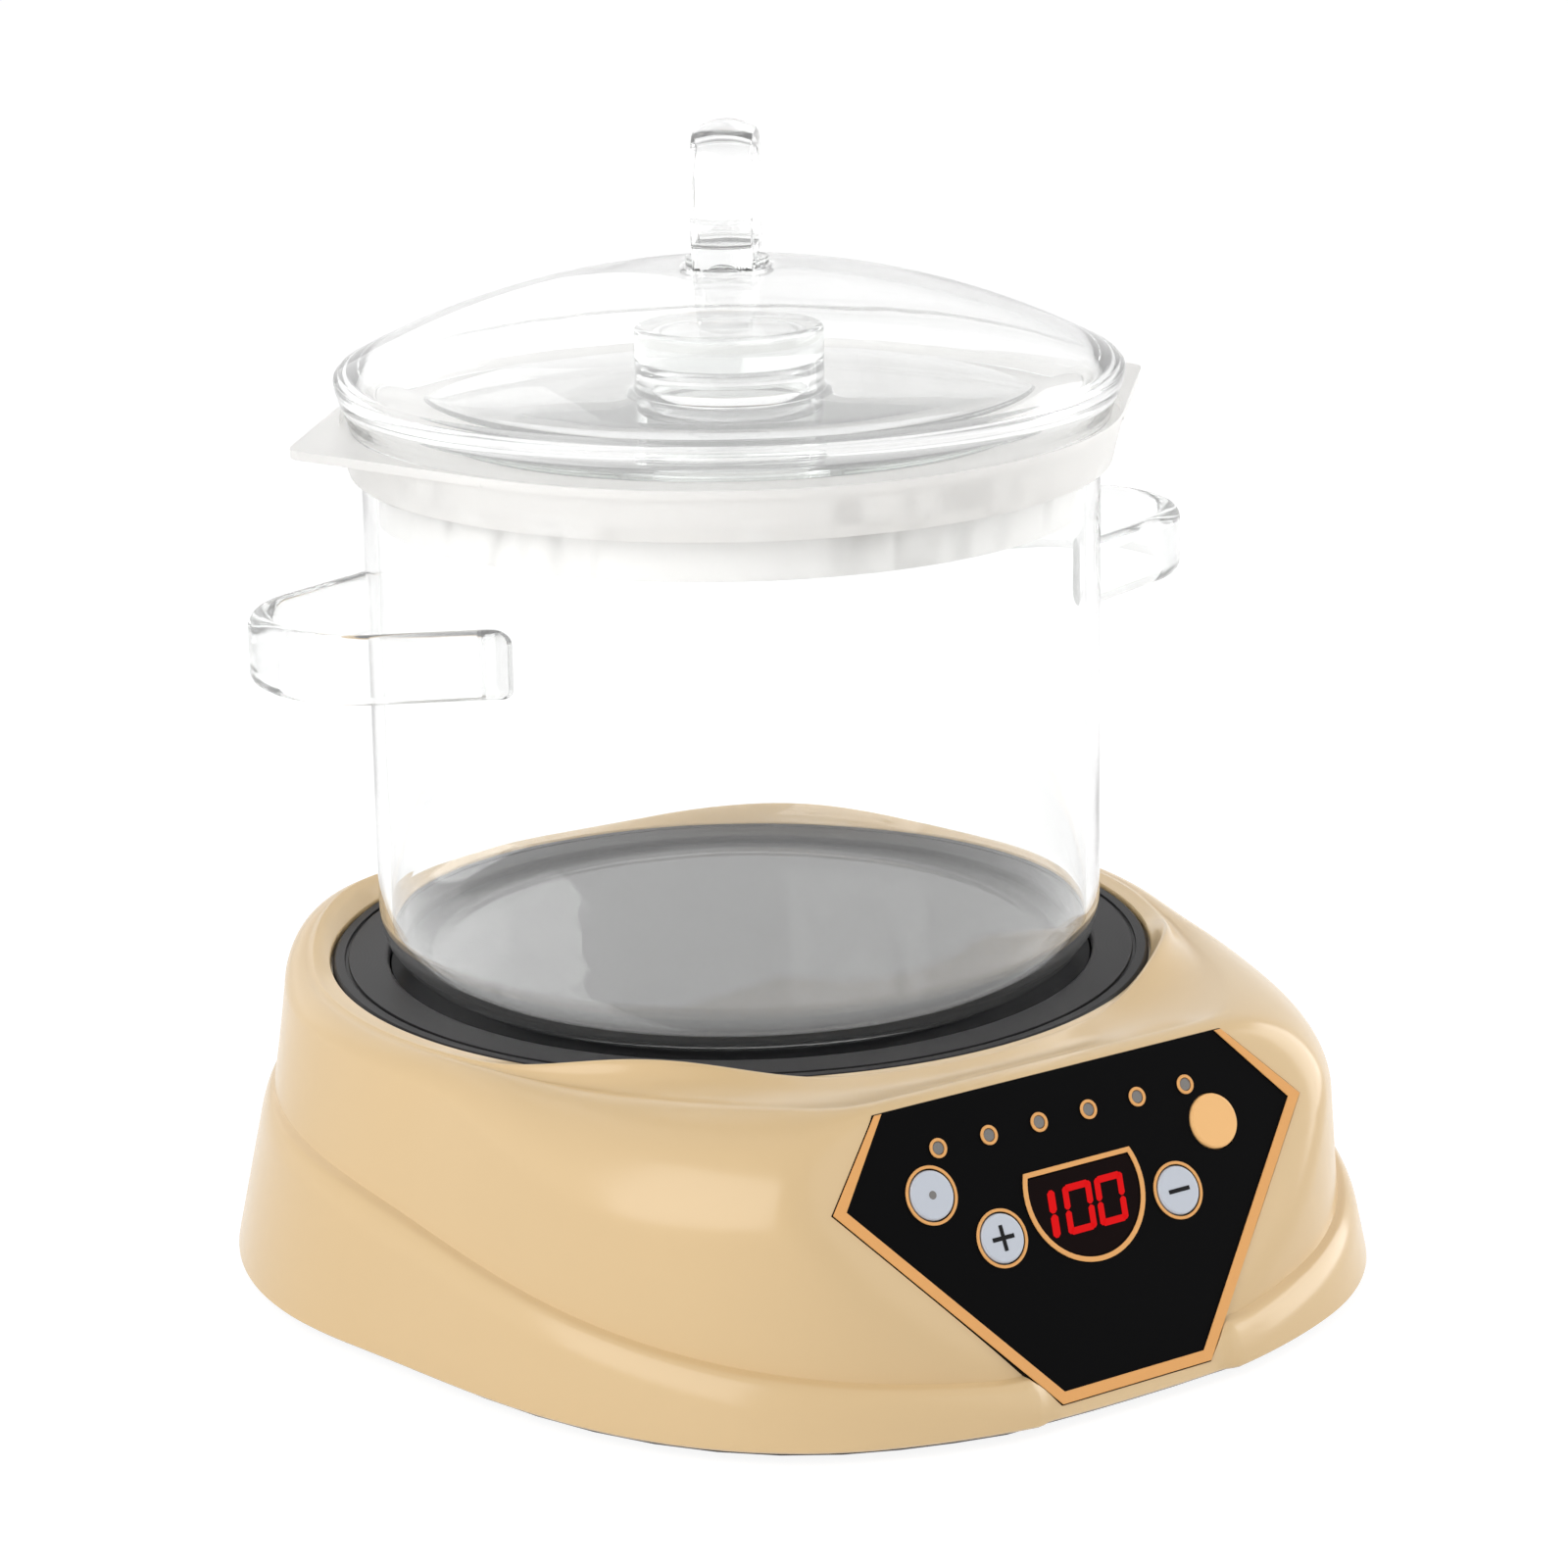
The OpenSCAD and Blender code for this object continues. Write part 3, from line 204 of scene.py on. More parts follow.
    def fold_in(self, a, h):
        """The soft edge beside the panel, on a line that climbs to the lip; negative, since it stands out."""
        climb = max(0, (a - self.fold_start) / self.fold_run) ** self.fold_bend
        line = mix(self.fold_low, self.ring_h + self.fold_over, climb)
        off = math.hypot(h - line, self.fold_soft) / self.fold_reach
        return -self.fold_rise * ease((a - self.fold_from) / self.fold_fade) * max(0, 1 - off) ** 2

    def wall_r(self, a, h):
        k = mix(self.blend_low, self.blend_high, h / self.ring_h)
        return soft_min(self.plane_r(a, h), self.loft_r(a, h) - self.round_in(a, h), k) - self.fold_in(a, h)

    def skirt_r(self, a, h):
        return mix(self.wall_r(a, h), self.lean_r(a, h), self.skirt_on(a))

    def inner_r(self, a, h):
        if h < self.crease_h(a):
            return min(self.lean_r(a, h) - self.step_at(a), self.plane_r(a, h)) - self.wall
        return self.wall_r(a, h) - self.wall

    def lip(self, a):
        """The rolled edge round the hob: a smooth curve through the shoulder's end, the crest and the rim."""
        top, crest = self.top_h(a), self.lip_h(a)
        crest_r, out_r = self.ring_r + self.crest_out, self.wall_r(a, top)
        dip = self.lip_dip * fall(a, *self.dip_fade)
        stops = [(out_r, top), (mix(out_r, crest_r, 0.35), mix(top, crest, 0.2) - dip),
                 (mix(out_r, crest_r, 0.7), mix(top, crest, 0.6) - dip), (crest_r, crest),
                 (crest_r - self.crest_fall, mix(self.ring_h, crest, 0.7)),
                 (self.opening_r + self.lip_edge, self.ring_h + self.lip_edge)]
        stops = [Vector(p) for p in stops]
        stops = [2 * stops[0] - stops[1]] + stops + [2 * stops[-1] - stops[-2]]
        curve = []
        for p, q, r, s in zip(stops, stops[1:], stops[2:], stops[3:]):
            for t in (0.2, 0.4, 0.6, 0.8, 1.0):
                curve.append(0.5 * (2 * q + (r - p) * t + (2 * p - 5 * q + 4 * r - s) * t * t
                                    + (3 * q - p - 3 * r + s) * t ** 3))
        return [tuple(c) for c in curve]

    def section(self, a):
        """One closed section, from the lower edge up the outside, over the lip and down the inside."""
        top = self.crease_h(a)
        step = self.skirt_r(a, top) - self.wall_r(a, top)
        rows = [(self.skirt_r(a, 0) - self.foot_round * (1 - sind(s)), self.foot_round * (1 - cosd(s)))
                for s in (0, 30, 60)]
        skirt = [mix(self.foot_round, top - self.skirt_round, j / 11) for j in range(12)]
        rows += [(self.skirt_r(a, h), h) for h in skirt]
        for s in range(12, 91, 13):
            h = top - self.skirt_round * (1 - sind(s))
            rows.append((self.skirt_r(a, h) - self.skirt_tuck * step * (1 - cosd(s)), h))
        rise = self.shoulder_rise(a)
        wall = [mix(top + 0.5, self.top_h(a) - rise, (j / 18) ** 1.3) for j in range(18)]
        wall += [self.top_h(a) - rise * (1 - sind(90 * j / 24)) for j in range(25)]
        rows += [(self.wall_r(a, h), h) for h in wall]
        rows += self.lip(a)
        rows += [(self.opening_r, self.ring_h - self.lip_edge), (self.opening_r, self.seat_h),
                 (self.ledge_r, self.seat_h), (self.ledge_r, self.ceiling_h)]
        rows += [(self.inner_r(a, h), h) for h in (self.ceiling_h, (top + self.ceiling_h) / 2, top, 0)]
        return rows


SHELL = ShellForm()


# Meshes

def corners_of(node):
    """The least and the greatest corner of a CAD node's box."""
    return [Vector(c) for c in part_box(node)]


def linked(name, data):
    """A new object in the scene."""
    thing = bpy.data.objects.new(name, data)
    bpy.context.scene.collection.objects.link(thing)
    return thing


def mesh_from(bm, name):
    """A bmesh as a mesh; the bmesh is freed."""
    mesh = bpy.data.meshes.new(name)
    bm.to_mesh(mesh)
    bm.free()
    return mesh


def plain_object(bm, name):
    """A bmesh, its faces turned outwards, as an object without a finish."""
    bmesh.ops.recalc_face_normals(bm, faces=bm.faces)
    return linked(name, mesh_from(bm, name))


def smoothed(piece, sharp=32.0):
    """Smooth shading; large faces keep their own normals next to rounded edges, else glass goes dark."""
    for face in piece.data.polygons:
        face.use_smooth = True
    piece.data.set_sharp_from_angle(angle=math.radians(sharp))
    even = piece.modifiers.new("even_normals", "WEIGHTED_NORMAL")
    even.keep_sharp = True


def finished(name, bm, material, body, stands_for=()):
    """Turns a bmesh into a piece: outward faces, smooth shading, a finish, and the body that it rides on."""
    piece = plain_object(bm, name)
    piece.data.materials.append(material)
    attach(piece, body)
    if stands_for:
        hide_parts(*stands_for)
    smoothed(piece)
    return piece


def cut_or_join(piece, tools, operation):
    """Cuts tools out of a piece, or joins them to it, and leaves the result in its mesh."""
    piece.modifiers.clear()
    for tool in tools:
        change = piece.modifiers.new("shape", "BOOLEAN")
        change.operation = operation
        change.solver = "EXACT"
        change.object = tool
    bpy.context.view_layer.update()
    shaped = bpy.data.meshes.new_from_object(piece.evaluated_get(bpy.context.evaluated_depsgraph_get()))
    piece.modifiers.clear()
    old, piece.data = piece.data, shaped
    name = old.name
    bpy.data.meshes.remove(old)
    shaped.name = name
    for tool in tools:
        mesh = tool.data
        bpy.data.objects.remove(tool)
        bpy.data.meshes.remove(mesh)


def bevelled(bm, geom, width, segments, affect="EDGES"):
    """Rounds edges, or the corners of an outline at its vertices."""
    bmesh.ops.bevel(bm, geom=geom, offset=width, offset_type="OFFSET", segments=segments, profile=0.5,
                    affect=affect, material=-1, clamp_overlap=affect == "EDGES")


def round_vert(bm, vert, radius, segments):
    """Rounds the corner that a vertex makes between its two edges."""
    u, v = (e.other_vert(vert).co - vert.co for e in vert.link_edges[:2])
    setback = radius / math.tan(u.angle(v) / 2)
    bevelled(bm, [vert], setback, segments, "VERTICES")


def lathe(profile, base_z, steps=192):
    """Spins a profile of (radius, height, corner radius), in millimetres, round the pot's axis."""
    bm = bmesh.new()
    verts = [bm.verts.new((AXIS.x + r * MM, AXIS.y, base_z + h * MM)) for r, h, _ in profile]
    for p, q in zip(verts, verts[1:]):
        bm.edges.new((p, q))
    if profile[0][0] > 0:
        bm.edges.new((verts[-1], verts[0]))
    for vert, (_, _, radius) in zip(verts, profile):
        if radius:
            round_vert(bm, vert, radius * MM, 7)
    bmesh.ops.spin(bm, geom=bm.verts[:] + bm.edges[:], cent=AXIS, axis=(0, 0, 1), angle=2 * math.pi,
                   steps=steps, use_merge=True)
    bmesh.ops.remove_doubles(bm, verts=bm.verts, dist=1e-6)
    return bm


def merged_copy(node):
    """A copy of a CAD node's mesh with its loose triangles joined."""
    bm = bmesh.new()
    bm.from_mesh(frame["nodes"][node].data)
    bmesh.ops.remove_doubles(bm, verts=bm.verts, dist=1e-6)
    bmesh.ops.dissolve_limit(bm, angle_limit=math.radians(0.5), verts=bm.verts, edges=bm.edges)
    return bm


def soften(bm, width, sharp=40.0, segments=3):
    """Rounds every edge that is sharper than an angle."""
    edges = [e for e in bm.edges if e.is_manifold and e.calc_face_angle(0) > math.radians(sharp)]
    bevelled(bm, edges, width * MM, segments)


def dressed(node, material, edge):
    """A CAD node with its sharp edges rounded."""
    bm = merged_copy(node)
    soften(bm, edge)
    return finished(node + "_dressed", bm, material, frame["nodes"][node]["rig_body"], (node,))


def face_middle(node):
    """Middle of a node's outermost face on the key panel."""
    spots = [v.co for v in frame["nodes"][node].data.vertices]
    out = max(p.dot(PANEL_OUT) for p in spots)
    face = [p for p in spots if out - p.dot(PANEL_OUT) < 2e-5]
    across = [p.dot(PANEL_ACROSS) for p in face]
    up = [p.dot(PANEL_UP) for p in face]
    return (PANEL_ACROSS * (min(across) + max(across)) / 2 + PANEL_UP * (min(up) + max(up)) / 2
            + PANEL_OUT * out)


def panel_place(spot):
    """Matrix from panel millimetres round a spot to the frame."""
    turn = Matrix((PANEL_ACROSS, PANEL_UP, PANEL_OUT)).transposed().to_4x4()
    return Matrix.Translation(spot) @ turn @ Matrix.Scale(MM, 4)


def pulled_up(bm, faces, by):
    """Pulls faces up into a slab, and returns the new vertices."""
    pulled = bmesh.ops.extrude_face_region(bm, geom=faces)["geom"]
    tops = [v for v in pulled if isinstance(v, bmesh.types.BMVert)]
    bmesh.ops.translate(bm, verts=tops, vec=(0, 0, by))
    return tops


def slab(bm, corners, low, high, place):
    """A flat polygon, in a place's own millimetres, pulled out into a slab."""
    face = bm.faces.new([bm.verts.new((x, y, low)) for x, y in corners])
    tops = pulled_up(bm, [face], high - low)
    bmesh.ops.transform(bm, matrix=place, verts=list(face.verts) + tops)


# Shader nodes

def set_inputs(node, **inputs):
    """Sets a node's unlinked inputs by name."""
    for name, value in inputs.items():
        node.inputs[name.replace("_", " ")].default_value = value
    return node


def node_in(tree, kind, **inputs):
    """Adds a node and sets its unlinked inputs."""
    return set_inputs(tree.nodes.new(kind), **inputs)


def new_group(name, outputs, **inputs):
    """An empty shader group that takes a Vector, numbers and colours, and puts out named values."""
    group = bpy.data.node_groups.new(name, "ShaderNodeTree")
    group.interface.new_socket(name="Vector", in_out="INPUT", socket_type="NodeSocketVector")
    for label, value in inputs.items():
        kind = "NodeSocketColor" if label == "Colour" else "NodeSocketFloat"
        socket = group.interface.new_socket(name=label.replace("_", " "), in_out="INPUT", socket_type=kind)
        socket.default_value = value
    for label in outputs:
        kind = "NodeSocketColor" if label == "Colour" else "NodeSocketFloat"
        group.interface.new_socket(name=label, in_out="OUTPUT", socket_type=kind)
    return group, group.nodes.new("NodeGroupInput"), group.nodes.new("NodeGroupOutput")


def math_in(tree, operation, a, b):
    """A Math node on two links or numbers."""
    node = tree.nodes.new("ShaderNodeMath")
    node.operation = operation
    for socket, value in zip(node.inputs, (a, b)):
        if isinstance(value, (int, float)):
            socket.default_value = value
        else:
            tree.links.new(value, socket)
    return node.outputs[0]


def blended(tree, share, first, second):
    """Mixes two shaders by a share, and returns the mix."""
    blend = tree.nodes.new("ShaderNodeMixShader")
    for value, socket in ((share, 0), (first, 1), (second, 2)):
        tree.links.new(value, blend.inputs[socket])
    return blend.outputs["Shader"]


def uneven_gloss(group, start, end, swing, by):
    """Puts out the group's gloss plus a swing times one of its inputs."""
    drift = math_in(group, "MULTIPLY", swing, start.outputs[by])
    group.links.new(math_in(group, "ADD", start.outputs["Gloss"], drift), end.inputs["Roughness"])


def moulded_skin():
    """Fine moulding grain, faint shade drift and uneven gloss, for every plastic, rubber and enamel."""
    if "Moulded skin" in bpy.data.node_groups:
        return bpy.data.node_groups["Moulded skin"]
    group, start, end = new_group("Moulded skin", ("Colour", "Roughness", "Height"), Colour=(0.8, 0.8, 0.8, 1),
                                  Shade=0.04, Grain=900.0, Gloss=0.3, Gloss_drift=0.05)
    link = group.links.new
    grain = node_in(group, "ShaderNodeTexNoise", Detail=3.0, Roughness=0.6)
    drift = node_in(group, "ShaderNodeTexNoise", Scale=16.0, Detail=2.0)
    link(start.outputs["Vector"], grain.inputs["Vector"])
    link(start.outputs["Grain"], grain.inputs["Scale"])
    link(start.outputs["Vector"], drift.inputs["Vector"])
    swing = math_in(group, "SUBTRACT", drift.outputs["Fac"], 0.5)
    value = math_in(group, "ADD", math_in(group, "MULTIPLY", swing, start.outputs["Shade"]), 1.0)
    tone = node_in(group, "ShaderNodeHueSaturation")
    link(start.outputs["Colour"], tone.inputs["Color"])
    link(value, tone.inputs["Value"])
    fine = math_in(group, "SUBTRACT", grain.outputs["Fac"], 0.5)
    both = math_in(group, "ADD", swing, math_in(group, "MULTIPLY", fine, 0.5))
    uneven_gloss(group, start, end, both, "Gloss drift")
    link(tone.outputs["Color"], end.inputs["Colour"])
    link(grain.outputs["Fac"], end.inputs["Height"])
    return group


def blown_glass():
    """Slow waves of blown glass and faint wipe marks."""
    if "Blown glass" in bpy.data.node_groups:
        return bpy.data.node_groups["Blown glass"]
    group, start, end = new_group("Blown glass", ("Roughness", "Height"), Wave=26.0, Smear=0.02, Gloss=0.01)
    link = group.links.new
    wave = node_in(group, "ShaderNodeTexNoise", Detail=1.0)
    smear = node_in(group, "ShaderNodeTexNoise", Scale=70.0, Detail=4.0, Distortion=1.5)
    link(start.outputs["Vector"], wave.inputs["Vector"])
    link(start.outputs["Wave"], wave.inputs["Scale"])
    link(start.outputs["Vector"], smear.inputs["Vector"])
    marks = math_in(group, "MAXIMUM", math_in(group, "SUBTRACT", smear.outputs["Fac"], 0.52), 0.0)
    uneven_gloss(group, start, end, marks, "Smear")
    link(wave.outputs["Fac"], end.inputs["Height"])
    return group


def turned_rings():
    """Concentric tool marks round the pot's axis."""
    if "Turned rings" in bpy.data.node_groups:
        return bpy.data.node_groups["Turned rings"]
    group, start, end = new_group("Turned rings", ("Roughness", "Height"), Pitch=400.0, Gloss=0.25,
                                  Gloss_drift=0.1)
    link = group.links.new
    centre = node_in(group, "ShaderNodeMapping", Location=-AXIS)
    link(start.outputs["Vector"], centre.inputs["Vector"])
    rings = node_in(group, "ShaderNodeTexWave", Distortion=0.4, Detail=2.0)
    rings.wave_type = "RINGS"
    rings.rings_direction = "Z"
    link(centre.outputs["Vector"], rings.inputs["Vector"])
    link(start.outputs["Pitch"], rings.inputs["Scale"])
    swing = math_in(group, "SUBTRACT", rings.outputs["Fac"], 0.5)
    uneven_gloss(group, start, end, swing, "Gloss drift")
    link(rings.outputs["Fac"], end.inputs["Height"])
    return group


def blank_material(name):
    """A material with one Principled shader and Object coordinates."""
    material = bpy.data.materials.new(name)
    material.use_nodes = True
    tree = material.node_tree
    shader = next(n for n in tree.nodes if n.type == "BSDF_PRINCIPLED")
    spots = tree.nodes.new("ShaderNodeTexCoord")
    return material, tree, shader, spots.outputs["Object"]


def placed(tree, group, vector, **inputs):
    """Places a shader group on a vector, with its own values."""
    node = tree.nodes.new("ShaderNodeGroup")
    node.node_tree = group
    tree.links.new(vector, node.inputs["Vector"])
    return set_inputs(node, **inputs)


def surfaced(tree, shader, skin, relief):
    """Feeds a group's roughness to the shader, and its height through a Bump node."""
    tree.links.new(skin.outputs["Roughness"], shader.inputs["Roughness"])
    if relief:
        bumps = node_in(tree, "ShaderNodeBump", Strength=1.0, Distance=relief)
        tree.links.new(skin.outputs["Height"], bumps.inputs["Height"])
        tree.links.new(bumps.outputs["Normal"], shader.inputs["Normal"])


def skinned(name, colour, colour_to="Base Color", relief=None, **values):
    """A material with a moulded skin, whose colour feeds one of the shader's inputs."""
    material, tree, shader, spots = blank_material(name)
    skin = placed(tree, moulded_skin(), spots, Colour=(*colour[:3], 1), **values)
    tree.links.new(skin.outputs["Colour"], shader.inputs[colour_to])
    surfaced(tree, shader, skin, relief)
    material.diffuse_color = (*colour[:3], 1)
    return material, tree, shader


def moulded(name, colour, gloss, shade=0.05, grain=900.0, relief=0.00001, drift=0.08, shine=0.5,
            metallic=0.0):
    """A moulded, printed or enamelled finish."""
    material, _, shader = skinned(name, colour, relief=relief, Shade=shade, Grain=grain, Gloss=gloss,
                                  Gloss_drift=drift)
    set_inputs(shader, Specular_IOR_Level=shine, Metallic=metallic)
    return material


def turned_coat(name, colour, gloss, shine, pitch=900.0, relief=0.000004):
    """A finish with concentric marks round the pot's axis."""
    material, tree, shader, spots = blank_material(name)
    rings = placed(tree, turned_rings(), spots, Pitch=pitch, Gloss=gloss, Gloss_drift=0.12)
    surfaced(tree, shader, rings, relief)
    set_inputs(shader, Base_Color=(*colour[:3], 1), Specular_IOR_Level=shine)
    material.diffuse_color = (*colour[:3], 1)
    return material


def output_of(tree):
    return next(n for n in tree.nodes if n.type == "OUTPUT_MATERIAL")


def pass_lamps(tree, shader, share):
    """Lets a share of the lamps' light through a see-through finish."""
    path = tree.nodes.new("ShaderNodeLightPath")
    through = node_in(tree, "ShaderNodeBsdfTransparent", Color=(share, share, share, 1))
    mixed = blended(tree, path.outputs["Is Shadow Ray"], shader.outputs["BSDF"], through.outputs["BSDF"])
    tree.links.new(mixed, output_of(tree).inputs["Surface"])


def clear_glass(name, tint, density, gloss, wave=0.0002, haze=0.0, index=1.45):
    """Clear glass whose colour deepens with its thickness."""
    material, tree, shader, spots = blank_material(name)
    surfaced(tree, shader, placed(tree, blown_glass(), spots, Gloss=gloss), wave)
    set_inputs(shader, Base_Color=(1, 1, 1, 1), Transmission_Weight=1.0 - haze, IOR=index)
    body = node_in(tree, "ShaderNodeVolumeAbsorption", Color=(*tint[:3], 1), Density=density)
    tree.links.new(body.outputs["Volume"], output_of(tree).inputs["Volume"])
    pass_lamps(tree, shader, 0.93)
    material.diffuse_color = (*tint[:3], 0.3)
    return material


def frosted(name, colour, gloss, clearness):
    """Translucent white silicone."""
    material, tree, shader = skinned(name, colour, relief=0.00002, Shade=0.03, Grain=500.0, Gloss=gloss)
    set_inputs(shader, Transmission_Weight=clearness, IOR=1.41)
    pass_lamps(tree, shader, 0.6)
    material.diffuse_color = (*colour[:3], 0.85)
    return material


def lit(name, colour, strength):
    """A lit display segment."""
    material, _, shader = skinned(name, colour, "Emission Color", Shade=0.1, Grain=600.0, Gloss=0.4)
    set_inputs(shader, Base_Color=(0.02, 0, 0, 1), Specular_IOR_Level=0.05, Emission_Strength=strength)
    return material


def paint(node, material):
    """Gives a CAD node that stays in view its finish."""
    slots = frame["nodes"][node].data.materials
    slots.clear()
    slots.append(material)


# Settings

class StewPotHousingLook(PropertyGroup):
    """Housing, underside and hob"""

    around: IntProperty(name="Steps round the housing", description="Sections in the housing's loft",
                        default=400, min=96, max=480)
    shell_colour: FloatVectorProperty(name="Shell", description="Cream plastic of the housing",
                                      subtype="COLOR", default=(0.715, 0.515, 0.275), min=0, max=1)
    shell_gloss: FloatProperty(name="Shell roughness", description="Roughness of the housing's plastic",
                               default=0.2, min=0, max=1, subtype="FACTOR")
    hob_colour: FloatVectorProperty(name="Hob ring", description="Enamel of the hob ring", subtype="COLOR",
                                    default=(0.022, 0.021, 0.022), min=0, max=1)
    plate_colour: FloatVectorProperty(name="Heating plate", description="Coat of the heating plate",
                                      subtype="COLOR", default=(0.006, 0.006, 0.0065), min=0, max=1)


class StewPotPanelLook(PropertyGroup):
    """Key panel, keys, lights and display"""

    film_colour: FloatVectorProperty(name="Film", description="Black film of the panel", subtype="COLOR",
                                     default=(0.0028, 0.0028, 0.003), min=0, max=1)
    copper_colour: FloatVectorProperty(name="Copper print", description="Border and trims",
                                       subtype="COLOR", default=(0.80, 0.40, 0.135), min=0, max=1)
    function_colour: FloatVectorProperty(name="Function key", description="Copper-coloured key",
                                         subtype="COLOR", default=(0.92, 0.53, 0.215), min=0, max=1)
    key_colour: FloatVectorProperty(name="Keys", description="Pale keys", subtype="COLOR",
                                    default=(0.56, 0.595, 0.66), min=0, max=1)
    digit_colour: FloatVectorProperty(name="Digits", description="Lit segments", subtype="COLOR",
                                      default=(0.95, 0.004, 0.006), min=0, max=1)
    digit_high: FloatProperty(name="Digit height", description="Height of a digit", default=0.0124,
                              unit="LENGTH")
    digit_wide: FloatProperty(name="Digit width", description="Width of a digit", default=0.0088,
                              unit="LENGTH")
    digit_slant: FloatProperty(name="Digit slant", description="Lean of the digits", default=math.radians(8),
                               subtype="ANGLE")
    sign_long: FloatProperty(name="Sign length", description="Length of the plus and minus bars",
                             default=0.0065, unit="LENGTH")


class StewPotGlassLook(PropertyGroup):
    """Pot, collar and lids"""

    tint: FloatVectorProperty(name="Glass tint", description="Colour of thick glass", subtype="COLOR",
                              default=(0.78, 0.83, 0.80), min=0, max=1)
    density: FloatProperty(name="Glass density", description="How fast the tint deepens, per metre",
                           default=9.0, min=0)
    ear_edge: FloatProperty(name="Ear edge", description="Rounding of the ears' edges", default=0.0033,
                            unit="LENGTH")
    pot_haze: FloatProperty(name="Pot haze", description="Milkiness of the pot", default=0.02, min=0, max=1,
                            subtype="FACTOR")
    ear_haze: FloatProperty(name="Ear haze", description="Milkiness of the ears", default=0.1, min=0, max=1,
                            subtype="FACTOR")
    lid_haze: FloatProperty(name="Inner lid haze", description="Milkiness of the inner lid", default=0.1,
                            min=0, max=1, subtype="FACTOR")
    dome_haze: FloatProperty(name="Dome haze", description="Milkiness of the domed lid", default=0.05,
                             min=0, max=1, subtype="FACTOR")
    frost_colour: FloatVectorProperty(name="Collar", description="Frosted collar", subtype="COLOR",
                                      default=(0.97, 0.962, 0.945), min=0, max=1)
    frost_clear: FloatProperty(name="Collar clearness", description="Light let through the collar",
                               default=0.35, min=0, max=1, subtype="FACTOR")


class StewPotStageLook(PropertyGroup):
    """Floor, light and camera"""

    floor_colour: FloatVectorProperty(name="Floor", description="Pale floor", subtype="COLOR",
                                      default=(0.86, 0.86, 0.86), min=0, max=1)
    sky: FloatProperty(name="Room light", description="Even light from the room", default=0.5, min=0)
    side_glow: FloatProperty(name="Side glow", description="Light of the sides in reflections", default=0.4,
                             min=0)
    top_shade: FloatProperty(name="Top shade", description="Light lost overhead through the glass",
                             default=0.8, min=0, max=1)
    lamps: FloatProperty(name="Lamp power", description="Power of the left lamp", default=22.0, min=0)
    lens: FloatProperty(name="Lens", description="Focal length in millimetres", default=106.04, min=1)
    camera_place: FloatVectorProperty(name="Camera", description="Place of the camera", subtype="TRANSLATION",
                                      default=(-0.65452, -0.98662, 0.46888))
    heading: FloatProperty(name="Heading", description="Turn of the view about the vertical",
                           default=math.radians(-33.6), subtype="ANGLE")
    dip: FloatProperty(name="Dip", description="Downward tilt of the view", default=math.radians(16.2),
                       subtype="ANGLE")
    roll: FloatProperty(name="Roll", description="Roll of the view", default=math.radians(-0.96),
                        subtype="ANGLE")


# Pieces

class STEWPOT_OT_housing(Operator):
    """Loft the creased housing, with its panel pocket and inlet recess"""

    bl_idname = "stewpot.housing"
    bl_label = "Housing"

    panel_corners = ((-54, 0), (54, 0), (72.9, -21.1), (23.2, -80.0), (-23.2, -80.0), (-72.9, -21.1))
    # name, growth of the panel's outline, depth and height
    panel_cuts = (("pocket", 0.1, -2.0, 20.0), ("opening", -8.0, -20.0, 1.0))
    flange_deep, flange_room, body_in, past_wall, past_flange = 2.05, 0.3, 1.7, 3, 30

    def grown(self, by):
        """The panel's outline, moved outwards."""
        corners = [Vector(c) for c in self.panel_corners]
        moved = []
        for i, p in enumerate(corners):
            u, v = (corners[i - 1] - p).normalized(), (corners[(i + 1) % 6] - p).normalized()
            moved.append(p - (u + v).normalized() * by / math.sin(u.angle(v) / 2))
        return moved

    def execute(self, context):
        look = context.scene.stewpot_housing
        around = look.around
        turns = [360 * i / around for i in range(around)]
        turns = [t - SHELL.front_bias * sind(t) for t in turns]
        sections = [SHELL.section(min(t, 360 - t)) for t in turns]
        bm = bmesh.new()
        row = [bm.verts.new((0, -1, j)) for j in range(len(sections[0]))]
        loop = [bm.edges.new((p, q)) for p, q in zip(row, row[1:] + row[:1])]
        bmesh.ops.spin(bm, geom=row + loop, cent=(0, 0, 0), axis=(0, 0, 1), angle=2 * math.pi, steps=around,
                       use_merge=True)
        for v in bm.verts:
            i = round(math.atan2(v.co.x, -v.co.y) / (2 * math.pi) * around) % around
            r, h = sections[i][round(v.co.z)]
            v.co = AXIS + Vector((r * MM * sind(turns[i]), -r * MM * cosd(turns[i]), BASE_Z + h * MM))
        cream = moulded("Cream shell", look.shell_colour, look.shell_gloss, shade=0.03, relief=0.000002,
                        drift=0.04)
        shell = finished("housing_shell", bm, cream, "base", ("housing",))
        top = AXIS + Vector((0, -SHELL.panel_top_y * MM, BASE_Z + SHELL.panel_top_h * MM))
        place = panel_place(top)
        tools = []
        for name, by, low, high in self.panel_cuts:
            cut = bmesh.new()
            slab(cut, self.grown(by), low, high, place)
            tools.append(plain_object(cut, name))
        low, high = corners_of("inlet_socket")
        rear = high.y + self.past_flange * MM
        for name, trim, front in (("inlet_recess", -self.flange_room, high.y - self.flange_deep * MM),
                                  ("inlet_hole", self.body_in, low.y - self.past_wall * MM)):
            inlet = bmesh.new()
            bmesh.ops.create_cube(inlet, size=1.0)
            size = (high.x - low.x - 2 * trim * MM, rear - front, high.z - low.z - 2 * trim * MM)
            bmesh.ops.scale(inlet, verts=inlet.verts, vec=size)
            bmesh.ops.translate(inlet, verts=inlet.verts, vec=(0, (front + rear) / 2, (low.z + high.z) / 2))
            tools.append(plain_object(inlet, name))
        cut_or_join(shell, tools, "DIFFERENCE")
        smoothed(shell, 34.0)
        return {"FINISHED"}


